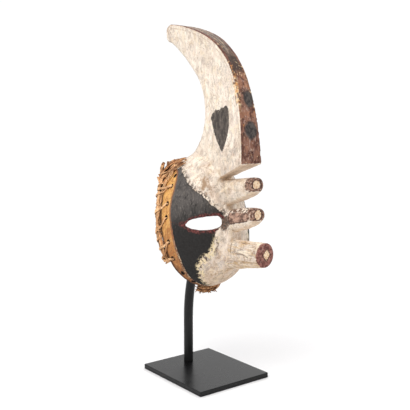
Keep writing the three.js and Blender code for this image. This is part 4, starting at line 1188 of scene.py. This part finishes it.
def sweep(path, radius, sides, flat=1.0, lumps=0.0, seed=0, roll=0.0, lift=None):
    """Rings along a path: points, quads, and (cos, sin, length along) of each point round and down the strand.

    A flat strand rolls as it goes, or lies with its broad side to the lift directions."""
    n = len(path)
    t = np.gradient(path, axis=0)
    t /= np.maximum(np.linalg.norm(t, axis=1), 1e-9)[:, None]
    u = np.zeros_like(path)
    ref = np.cross(t[0], [0.3, 0.2, 0.9])
    u[0] = ref / np.linalg.norm(ref)
    for i in range(1, n):
        v = u[i - 1] - t[i] * (u[i - 1] @ t[i])
        u[i] = v / np.linalg.norm(v)
    if lift is not None:
        u = np.cross(t, lift)
        u /= np.maximum(np.linalg.norm(u, axis=1), 1e-9)[:, None]
    b = np.cross(t, u)
    along = np.concatenate([[0], np.cumsum(np.linalg.norm(np.diff(path, axis=0), axis=1))])
    ang = np.arange(sides) / sides * 2 * np.pi
    radius = np.broadcast_to(radius, (n,))
    twist = roll * along[:, None]
    c, s = np.cos(ang)[None, :], np.sin(ang)[None, :]
    cx, sx = c * np.cos(twist) - flat * s * np.sin(twist), c * np.sin(twist) + flat * s * np.cos(twist)
    rr = radius[:, None] * np.ones((1, sides))
    if lumps:
        q = np.stack([(c * 1.6 + 0 * along[:, None]).ravel(), (s * 1.6 + 0 * along[:, None]).ravel(), np.repeat(along / 7.0, sides)], 1)
        rr = rr * (1 + lumps * noise3(q + seed * 3.7, seed).reshape(n, sides))
        ridges = np.sin(ang * 4 + seed)[None, :] * 0.5 + np.sin(ang * 7 + 2.3 * seed + 0.02 * along[:, None])
        rr = rr * (1 + 0.05 * ridges)
    pts = path[:, None, :] + rr[..., None] * (cx[..., None] * u[:, None, :] + sx[..., None] * b[:, None, :])
    i = np.arange(n - 1)[:, None] * sides
    k = np.arange(sides)[None, :]
    k2 = (k + 1) % sides
    quads = np.stack([i + k, i + k2, i + sides + k2, i + sides + k], -1).reshape(-1, 4)
    caps = []
    if sides % 2 == 0:
        for base, turn in ((0, 1), ((n - 1) * sides, 0)):
            for j in range(sides // 2 - 1):
                f = [base + j, base + j + 1, base + sides - 2 - j, base + sides - 1 - j]
                caps.append(f[::-1] if turn else f)
    quads = np.concatenate([quads, np.array(caps, int).reshape(-1, 4)])
    field = np.stack([np.tile(np.cos(ang), n), np.tile(np.sin(ang), n), np.repeat(along, sides)], 1)
    return pts.reshape(-1, 3), quads, field


class Strands:
    """Collects swept strands into one mesh."""

    def __init__(self):
        self.points, self.quads, self.fields, self.hues, self.cores, self.count = [], [], [], [], [], 0

    def add(self, path, radius, sides, hue, **more):
        p, q, f = sweep(path, radius, sides, **more)
        self.points.append(p)
        self.quads.append(q + self.count)
        self.fields.append(f)
        self.hues.append(np.full(len(p), hue))
        self.cores.append((path, np.broadcast_to(radius, (len(path),)) * (0.5 + 0.5 * more.get("flat", 1.0))))
        self.count += len(p)

    def mesh(self, name, box=None):
        p = np.concatenate(self.points)
        if box is not None:
            lo, hi = [np.array(c) / MM for c in box]
            p = np.clip(p, lo + 0.02, hi - 0.02)
        ob = build_mesh(name, p, np.concatenate(self.quads), 4)
        f = np.concatenate(self.fields)
        for i, key in enumerate(("s_cos", "s_sin", "s_along")):
            set_attribute(ob.data, key, f[:, i])
        set_attribute(ob.data, "s_hue", np.concatenate(self.hues))
        return ob, self.cores


def smooth_path(points, spacing):
    """An even path through the points, by centripetal Catmull-Rom."""
    P = np.concatenate([[2 * points[0] - points[1]], points, [2 * points[-1] - points[-2]]])
    out = []
    for i in range(1, len(P) - 2):
        p0, p1, p2, p3 = P[i - 1:i + 3]
        d = [max(np.linalg.norm(b - a) ** 0.5, 1e-4) for a, b in ((p0, p1), (p1, p2), (p2, p3))]
        t0, t1, t2, t3 = 0, d[0], d[0] + d[1], sum(d)
        t = np.linspace(t1, t2, max(int(np.linalg.norm(p2 - p1) / 0.5), 3), endpoint=False)[:, None]
        a1 = (t1 - t) / (t1 - t0) * p0 + (t - t0) / (t1 - t0) * p1
        a2 = (t2 - t) / (t2 - t1) * p1 + (t - t1) / (t2 - t1) * p2
        a3 = (t3 - t) / (t3 - t2) * p2 + (t - t2) / (t3 - t2) * p3
        b1 = (t2 - t) / (t2 - t0) * a1 + (t - t0) / (t2 - t0) * a2
        b2 = (t3 - t) / (t3 - t1) * a2 + (t - t1) / (t3 - t1) * a3
        out.append((t2 - t) / (t2 - t1) * b1 + (t - t1) / (t2 - t1) * b2)
    path = np.concatenate(out + [P[-2][None]])
    along = np.concatenate([[0], np.cumsum(np.linalg.norm(np.diff(path, axis=0), axis=1))])
    at = np.linspace(0, along[-1], max(int(along[-1] / spacing), 4))
    return np.stack([np.interp(at, along, path[:, c]) for c in range(3)], 1)


def wander(n, seed, scale):
    q = np.stack([np.arange(n) * scale, np.full(n, 0.37 * seed), np.full(n, 2.1)], 1)
    return noise3(q, 200 + seed)


def strip(s, stops, width, thick, hue, seed, spacing=1.2):
    """A flat strip of raffia through stops of (angle, out, w), its broad side away from the bundle or the wood."""
    stops = np.array(stops, float) * [60, 1, 1]
    q = smooth_path(stops, spacing) / [60, 1, 1]
    q += np.stack([0.006 * wander(len(q), seed + 300, 0.12), 0.22 * wander(len(q), seed + 310, 0.15), 0.3 * wander(len(q), seed + 320, 0.15)], 1)
    middle_out, middle_w = rope_middle(q[:, 0])
    behind = sstep(-q[:, 2], -3.0, 3.0)
    away = np.stack([q[:, 1] - middle_out, q[:, 2] - middle_w], 1)
    away /= np.linalg.norm(away, axis=1)[:, None]
    away = away * behind[:, None] + np.array([[1.0, 0.0]]) * (1 - behind[:, None])
    here = rim_point(*q.T)
    lift = rim_point(q[:, 0], q[:, 1] + 0.1 * away[:, 0], q[:, 2] + 0.1 * away[:, 1]) - here
    ends = np.minimum(np.arange(len(q)), np.arange(len(q))[::-1]) * 0.3 + 0.5
    half = width / 2 * (1 + 0.16 * wander(len(q), seed + 330, 0.2)) * np.minimum(ends, 1)
    s.add(here, half, 10, hue, flat=thick / width, lumps=0.08, seed=seed, lift=lift)


def tie(s, a, w, slant, seed, hue, width=3.4, thick=1.5, rise=0.0):
    """One stitch: out through a hole, over the band and the bundle, round behind it and back in."""
    wall = WALL_RIM
    r = float(rope_radius(np.array(a + slant)))
    o, mid = [float(v) for v in rope_middle(np.array(a + slant))]
    far = r + 0.5 + rise
    stops = [(a, -wall - 2.6, w), (a, -wall / 2, w), (a + 0.06 * slant, 1.0 + rise, w - 0.7), (a + 0.30 * slant, 1.0 + rise, w * 0.66),
             (a + 0.66 * slant, 1.2 + rise, w * 0.25), (a + 0.86 * slant, o + far * 0.72, mid + far * 0.74), (a + slant, o + far, mid),
             (a + 1.12 * slant, o + far * 0.70, mid - far * 0.72), (a + 1.2 * slant, o, mid - far), (a + 1.3 * slant, o - far * 0.75, mid - far * 0.68),
             (a + 1.3 * slant, -wall - 2.8, 1.5)]
    strip(s, stops, width, thick, hue, seed)


# Loose strands of the knot on the crown, in the mask's own frame: stops, radius at each end, how dark (0 to 1)
KNOT = [
    ([(-46, 61, 320), (-40, 57.5, 330), (-29.5, 57.5, 339.5), (-24.5, 52, 347), (-19.5, 47, 352.4), (-13.2, 42, 357.0)], 2.8, 2.0, 0.45),
    ([(-47, 63, 325), (-40, 61, 336.5), (-31, 61.5, 343.5), (-21, 62.5, 349.5), (-9, 62.5, 353.6), (-1, 59, 355.8)], 2.8, 2.3, 0.30),
    ([(-24, 64, 345), (-15, 59.5, 352), (-6, 53, 356.4), (2, 49, 357.2)], 2.6, 2.1, 0.20),
    ([(-40, 55, 330), (-33.5, 50, 338), (-30.4, 42, 345), (-28, 33, 350.2), (-25.6, 25.5, 353.2)], 2.4, 1.8, 0.75),
    ([(-54, 48, 304), (-51, 46.6, 311), (-46.4, 46.8, 319), (-42.4, 45.6, 326.8), (-38.6, 43.2, 334), (-35.2, 37.5, 340), (-34.4, 28.6, 344.8), (-31.4, 19.4, 350.2), (-28, 15.5, 353)], 1.6, 1.2, 0.95),
    ([(-53.6, 46.5, 302), (-51.0, 42.0, 312.5), (-47.8, 40.4, 321.4), (-44.8, 36.4, 328.8), (-41.0, 34.4, 334.6), (-36, 38.6, 340.4), (-29, 44, 347.5)], 1.5, 1.4, 0.80),
    ([(-47, 64, 331), (-44, 60, 333.4), (-41.2, 56.2, 335), (-37, 53, 336.2), (-37, 45.5, 337.4), (-35, 41, 339.6)], 1.6, 1.3, 0.85),
    ([(-29, 43, 347), (-28.4, 31, 351.6), (-27.4, 21.6, 354.4), (-24.6, 18.6, 356.6), (-22, 23, 357.6), (-22.4, 30, 357.4)], 0.9, 0.7, 0.10),
    ([(-36, 60, 340), (-28, 58.5, 346.5), (-20.5, 54, 352.2), (-15, 51, 356.4)], 1.7, 0.9, 0.15),
    ([(-50, 57, 318), (-45.5, 62, 327), (-38, 65.5, 336), (-27, 67, 344.5), (-14, 68, 350.5), (0, 66, 353.5)], 2.4, 2.0, 0.55),
    ([(-51, 55, 309), (-49, 53.5, 318), (-45.0, 56.5, 326), (-41, 59, 331)], 1.9, 1.7, 0.65),
    ([(-36, 64, 330), (-38, 66.5, 339), (-37, 67.5, 347), (-34.5, 67, 351.5)], 2.7, 2.2, 0.40),
    ([(-42, 61, 326), (-42.5, 64, 335), (-41, 65, 342), (-39, 64.5, 346)], 2.6, 1.9, 0.75),
    ([(-28, 60, 338), (-29.5, 64, 346), (-28, 65, 353)], 2.2, 1.5, 0.55),
    ([(-22, 58, 343), (-20.5, 60, 350), (-17.5, 60, 356.2)], 1.9, 1.2, 0.25),
    ([(-47, 56, 316), (-50, 60, 322), (-51.5, 61.5, 328)], 2.1, 1.5, 0.60),
]


def wider(box):
    lo, hi = [np.array(c) / MM for c in box]
    return (lo - [0, 2.5, 1.5]) * MM, (hi + [0, 2.5, 2.5]) * MM


def make_rope():
    rng = np.random.default_rng(12)
    s = Strands()
    n = 420
    a = np.linspace(ROPE_FROM, ROPE_TO, n)
    r = rope_radius(a)
    ends = np.minimum(a - ROPE_FROM, ROPE_TO - a)
    taper = 0.50 + 0.50 * sstep(ends, 0.0, 0.10)
    # where the stitches pull the bundle in, every thumb's width or so
    pulls = 1 - 0.17 * np.exp(-((((a - ROPE_FROM + 0.02 * wander(n, 77, 0.05)) / 0.165) % 1.0 - 0.5) / 0.16) ** 2)
    s.add(rope_surface(a, 0 * a, 0 * a), r * 0.42 * taper, 8, 0.1, lumps=0.2, seed=3)
    count = 5
    for k in range(count):
        turn = (k + 0.35 * rng.random()) / count * 2 * np.pi + 1.15 * (a - ROPE_FROM) + 0.85 * wander(n, k, 0.03) + 0.35 * wander(n, k + 20, 0.11)
        share = (0.57 + 0.10 * wander(n, k + 40, 0.07)) * pulls
        thick = r * (0.44 + 0.07 * wander(n, k + 60, 0.06)) * taper * (0.90 + 0.20 * rng.random())
        s.add(rope_surface(a, turn, share), thick, 14, 0.35 + 0.6 * rng.random(), flat=0.78, lumps=0.16, seed=k + 5, roll=0.04)
    # broad loose strips that cross over the bundle
    for k in range(16):
        m = rng.integers(34, 70)
        start = rng.random() * 0.93
        aa = ROPE_FROM + (ROPE_TO - ROPE_FROM) * (start + np.linspace(0, 0.03 + 0.05 * rng.random(), m))
        aa = aa[aa < ROPE_TO - 0.01]
        if len(aa) < 16:
            continue
        m = len(aa)
        turn = rng.random() * 2 * np.pi + (1 if k % 2 else -1) * (1.2 + 1.6 * rng.random()) * np.linspace(0, 1, m) + 0.4 * wander(m, k + 80, 0.07)
        dip = np.sin(np.linspace(0.0, np.pi, m)) ** 0.5
        lift = 0.62 + 0.37 * dip + 0.04 * wander(m, k + 90, 0.1)
        path = rope_surface(aa, turn, lift * pulls[np.clip(np.searchsorted(a, aa), 0, n - 1)])
        middle = rope_surface(aa, turn * 0, 0 * turn)
        s.add(path, (1.35 + 0.65 * rng.random()) * (0.55 + 0.45 * dip), 10, 0.3 + 0.7 * rng.random(), flat=0.45, lumps=0.12, seed=k, lift=path - middle)
    # hair-thin split fibres
    for k in range(26):
        m = rng.integers(26, 80)
        start = rng.random() * 0.9
        aa = ROPE_FROM + (ROPE_TO - ROPE_FROM) * (start + np.linspace(0, 0.04 + 0.08 * rng.random(), m))
        aa = aa[aa < ROPE_TO - 0.01]
        if len(aa) < 12:
            continue
        m = len(aa)
        turn = rng.random() * 2 * np.pi + (rng.random() - 0.5) * 2.4 * np.linspace(0, 1, m) + 0.5 * wander(m, k + 130, 0.05)
        lift = 0.97 + 0.05 * wander(m, k + 190, 0.1)
        thin = np.sin(np.linspace(0.12, np.pi - 0.12, m)) ** 0.4
        s.add(rope_surface(aa, turn, lift * pulls[np.clip(np.searchsorted(a, aa), 0, n - 1)]), (0.28 + 0.28 * rng.random()) * thin, 6, rng.random(), flat=0.6, seed=k)
    # the knot on the crown
    for k, (stops, thick, thin, hue) in enumerate(KNOT):
        path = smooth_path(np.array(stops, float), 1.0)
        m = len(path)
        path = path + 0.35 * np.stack([wander(m, k + 240, 0.14), wander(m, k + 250, 0.14), wander(m, k + 260, 0.14)], 1)
        s.add(path, 1.12 * np.linspace(thick, thin, m) * (1 + 0.12 * wander(m, k + 270, 0.2)), 14, hue, flat=0.74, lumps=0.10, seed=k + 51, roll=0.05)
        for j in range(1):
            side = path + 0.75 * np.linspace(thick, thin, m)[:, None] * np.stack([wander(m, k * 3 + j + 280, 0.05) * 1.4, wander(m, k * 3 + j + 290, 0.05) * 1.4, 0.5 + 0 * path[:, 0]], 1)
            s.add(side, 0.45 + 0.25 * rng.random(), 6, rng.random(), flat=0.6, seed=k + j)
    # the clump and the frayed ends under the chin, and the end at the cheek
    for k in range(40):
        m = 18
        along = np.linspace(0, 1, m)
        start = ROPE_TO - 0.44 + 0.36 * rng.random()
        aa = np.minimum(start + (0.06 + 0.12 * rng.random()) * along, ROPE_TO + 0.03)
        turn = rng.random() * 2 * np.pi + 1.6 * (rng.random() - 0.5) * along
        path = rope_surface(aa, turn, 0.66 + 0.20 * rng.random() + 0.22 * (rng.random() - 0.3) * along)
        s.add(path, (0.75 + 0.75 * rng.random()) * (1 - 0.45 * along), 8, 0.7 * rng.random(), flat=0.6, lumps=0.15, seed=k + 31)
    for k in range(34):
        chin = k < 27
        m = 14
        along = np.linspace(0, 1, m)
        base = ROPE_TO - 0.32 * rng.random() if chin else ROPE_FROM + 0.06 * rng.random()
        aa = base + (0.10 * (rng.random() - 0.35) if chin else -0.04 * rng.random()) * along
        turn = (rng.random() - 0.6) * 2.8 if chin else rng.random() * 2 * np.pi
        path = rope_surface(aa, turn + 0.5 * (rng.random() - 0.5) * along, 0.7 + (0.25 + 0.85 * rng.random() * chin) * along)
        s.add(path, (0.7 + 1.0 * rng.random() * chin) * (1 - 0.5 * along), 8, 0.8 * rng.random(), flat=0.7, lumps=0.2, seed=k + 71)
    return s.mesh("raffia_bundle", wider(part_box("rim_rope")))


def make_lacing():
    rng = np.random.default_rng(5)
    s = Strands()
    near = [(angle_of(v, -1), w) for v, w in HOLES]
    far = [(angle_of(v, 1), w) for v, w in HOLES]
    near.sort(reverse=True)
    # near side, from the crown down: the second to the sixth hole, the lowest two are empty
    tie(s, *near[1], 0.03, 2, 0.85, 4.2)
    tie(s, near[1][0], near[1][1] - 1.0, -0.10, 3, 0.60, 2.8, rise=1.0)
    tie(s, *near[2], -0.08, 4, 0.95, 4.0)
    tie(s, *near[3], -0.23, 5, 0.50, 4.0)
    tie(s, *near[4], -0.06, 6, 0.85, 3.4)
    tie(s, near[4][0], near[4][1] - 0.8, -0.22, 7, 0.45, 3.2, rise=0.8)
    tie(s, *near[5], 0.02, 8, 0.70, 3.4)
    # the far side is stitched the same way
    for k, (a, w) in enumerate(far):
        if ROPE_FROM + 0.1 < a < ROPE_TO - 0.1:
            tie(s, a, w, 0.07 + 0.12 * rng.random(), 20 + k, 0.6 + 0.4 * rng.random(), 2.8 + 0.8 * rng.random())
    # strips wound round the bundle itself, crossing one another
    for k, at in enumerate(np.arange(ROPE_FROM + 0.10, ROPE_TO - 0.22, 0.30)):
        lean = (0.13 + 0.05 * rng.random()) * (1 if k % 2 else -1)
        at = at + 0.03 * (rng.random() - 0.5)
        stops = []
        for t in np.linspace(-0.15, 1.2, 22):
            turn = t * 2 * np.pi - 2.2
            aa = np.clip(at + lean * t, ROPE_FROM, ROPE_TO)
            r = float(rope_radius(np.array(aa))) * 0.93 + 0.35 + 0.5 * (k % 2)
            o, mid = [float(v) for v in rope_middle(np.array(aa))]
            stops.append((aa, o + r * math.cos(turn), mid + r * math.sin(turn)))
        strip(s, stops, 2.8 + 1.0 * rng.random(), 1.3, 0.45 + 0.5 * rng.random(), 60 + k)
    return s.mesh("raffia_lacing", wider(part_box("lacing_cord")))


def raffia_material(name, dark, mid, light):
    s = Shader(name)
    c, d, along, hue = (s.attribute(k) for k in ("s_cos", "s_sin", "s_along", "s_hue"))
    n = s.nodes.new("ShaderNodeCombineXYZ")
    s.put(n.inputs[0], s.add(s.times(c, 3.0), s.times(hue, 31.0)))
    s.put(n.inputs[1], s.times(d, 3.0))
    s.put(n.inputs[2], s.times(along, 0.07))
    fibre = s.noise(1.0, 4, 0.65, 0.0, 0.0, n.outputs[0])
    m = s.nodes.new("ShaderNodeCombineXYZ")
    s.put(m.inputs[0], s.add(s.times(c, 7.0), s.times(hue, 13.0)))
    s.put(m.inputs[1], s.times(d, 7.0))
    s.put(m.inputs[2], s.times(along, 0.12))
    hair = s.noise(1.0, 3, 0.6, 5.0, 0.0, m.outputs[0])
    patch = s.noise(7.0, 4, 0.6, 3.0)
    colour = s.mix(s.step(s.add(fibre, s.times(s.math("SUBTRACT", hue, 0.5), 0.40)), 0.34, 0.70), mid, light)
    colour = s.mix(s.times(s.step(hair, 0.54, 0.70), 0.34), colour, dark)
    colour = s.mix(s.times(s.step(patch, 0.48, 0.64), 0.50), colour, dark)
    wide = s.noise(24.0, 3, 0.6, 13.0)
    colour = s.mix(s.times(s.step(wide, 0.46, 0.60), 0.40), colour, dark)
    low = s.step(s.level(), 172.0, 158.0)
    colour = s.mix(s.times(low, s.step(s.noise((5, 5, 5), 3, 0.6, 14.0), 0.38, 0.58), 0.72), colour, srgb(104, 54, 24))
    high = s.step(s.level(), 322.0, 336.0)
    colour = s.mix(s.times(high, s.step(s.noise((11, 11, 11), 3, 0.6, 16.0), 0.42, 0.56), 0.72), colour, srgb(110, 62, 36))
    shade = s.attribute("p_shade")
    shade = s.step(s.add(shade, s.times(s.math("SUBTRACT", hair, 0.5), 0.25)), 0.06, 0.62)
    colour = s.mix(s.times(shade, 0.95), colour, srgb(46, 24, 12))
    colour = s.mix(s.times(s.step(hue, 0.16, 0.08), 0.75), colour, srgb(74, 58, 46))
    height = s.add(s.times(hair, -1.0), s.times(fibre, 0.6))
    return s.finish(colour, s.blend(patch, 0.62, 0.85), height, 0.45, 0.30)


# ------------------------------------------------------------------ hidden crevices
def crowding(fibres, pieces):
    """Gives every piece p_shade, from 0 in the open to 1 where the raffia closes in on a point."""
    lo = np.min([read_points(o.data).min(0) for o, _ in fibres], axis=0) - 12
    hi = np.max([read_points(o.data).max(0) for o, _ in fibres], axis=0) + 12
    cell = 1.25
    shape = np.ceil((hi - lo) / cell).astype(int) + 1
    full = np.zeros(shape)
    for _, cores in fibres:
        for path, radius in cores:
            step = np.linalg.norm(np.gradient(path, axis=0), axis=1)
            part = np.pi * radius ** 2 * step / cell ** 3 / 7
            for shift in [(0, 0, 0)] + [tuple(d) for d in (np.eye(3) * 0.62).tolist() + (-np.eye(3) * 0.62).tolist()]:
                i = np.round((path + np.array(shift) * radius[:, None] - lo) / cell).astype(int)
                np.add.at(full, (i[:, 0], i[:, 1], i[:, 2]), part)
    for axis in range(3):
        for _ in range(2):
            full = (np.roll(full, 1, axis) + full + np.roll(full, -1, axis)) / 3
    full = np.minimum(full, 1.0)
    for ob in pieces:
        me = ob.data
        p = read_points(me)
        n = np.empty(len(p) * 3, np.float32)
        me.vertex_normals.foreach_get("vector", n)
        n = n.reshape(-1, 3).astype(np.float64)
        near = np.all((p > lo + 8) & (p < hi - 8), axis=1)
        shade = np.zeros(len(p))
        for reach in (2.0, 3.4, 5.0):
            i = np.round((p[near] + n[near] * reach - lo) / cell).astype(int)
            shade[near] += full[i[:, 0], i[:, 1], i[:, 2]] / 3
        set_attribute(me, "p_shade", sstep(shade, 0.10, 0.50))




# ------------------------------------------------------------------ the stand and the floor
def steel_material(name, low, high, rough_low, rough_high):
    s = Shader(name)
    cloud = s.noise(22, 4, 0.6, 2.0)
    speck = s.noise(0.9, 3, 0.7, 6.0)
    rub = s.noise((3, 26, 3), 4, 0.6, 9.0)
    colour = s.mix(s.step(cloud, 0.35, 0.65), low, high)
    colour = s.mix(s.times(s.step(speck, 0.62, 0.76), 0.30), colour, srgb(30, 30, 31))
    colour = s.mix(s.times(s.step(rub, 0.60, 0.72), 0.25), colour, srgb(26, 26, 27))
    rough = s.blend(s.step(s.add(cloud, s.times(s.math("SUBTRACT", speck, 0.5), 0.5)), 0.35, 0.65), rough_low, rough_high)
    return s.finish(colour, rough, s.add(speck, s.times(cloud, 0.5)), 0.012, 0.24)


def floor_material():
    s = Shader("floor_finish")
    colour = s.mix(s.noise(120, 3, 0.5, 1.0), (0.83, 0.83, 0.84), (0.85, 0.85, 0.86))
    return s.finish(colour, s.blend(s.noise(60, 2, 0.5), 0.72, 0.80), None, 0.1, 0.2)


def make_floor():
    me = bpy.data.meshes.new("floor")
    back, side, front = 0.345, 2.6, 3.2
    ahead, across = Vector((0.6089, 0.7933, 0)), Vector((0.7933, -0.6089, 0))
    corners = [ahead * y + across * x for x, y in ((-side, -front), (side, -front), (side, back), (-side, back))]
    me.from_pydata(corners, [], [(0, 1, 2, 3)])
    ob = bpy.data.objects.new("floor", me)
    scene.collection.objects.link(ob)
    me.materials.append(floor_material())


def dress(ob, material):
    ob.data.materials.clear()
    ob.data.materials.append(material)


make_floor()
dress(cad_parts["foot_plate"], steel_material("plate_finish", srgb(10, 10, 11), srgb(14, 14, 15), 0.27, 0.31))
dress(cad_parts["support_rod"], steel_material("rod_finish", srgb(18, 18, 18), srgb(25, 25, 25), 0.28, 0.36))

carved = make_mask()
bundle, bundle_cores = make_rope()
lacing, lacing_cores = make_lacing()
crowding([(bundle, bundle_cores), (lacing, lacing_cores)], [carved, bundle, lacing])

dress(carved, mask_material())
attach(carved, "root")
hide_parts("mask")

dress(bundle, raffia_material("raffia_finish", srgb(96, 54, 26), srgb(212, 148, 96), srgb(255, 208, 156)))
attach(bundle, "root")
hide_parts("rim_rope")

dress(lacing, raffia_material("lacing_finish", srgb(112, 66, 36), srgb(204, 146, 98), srgb(248, 202, 152)))
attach(lacing, "root")
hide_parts("lacing_cord")
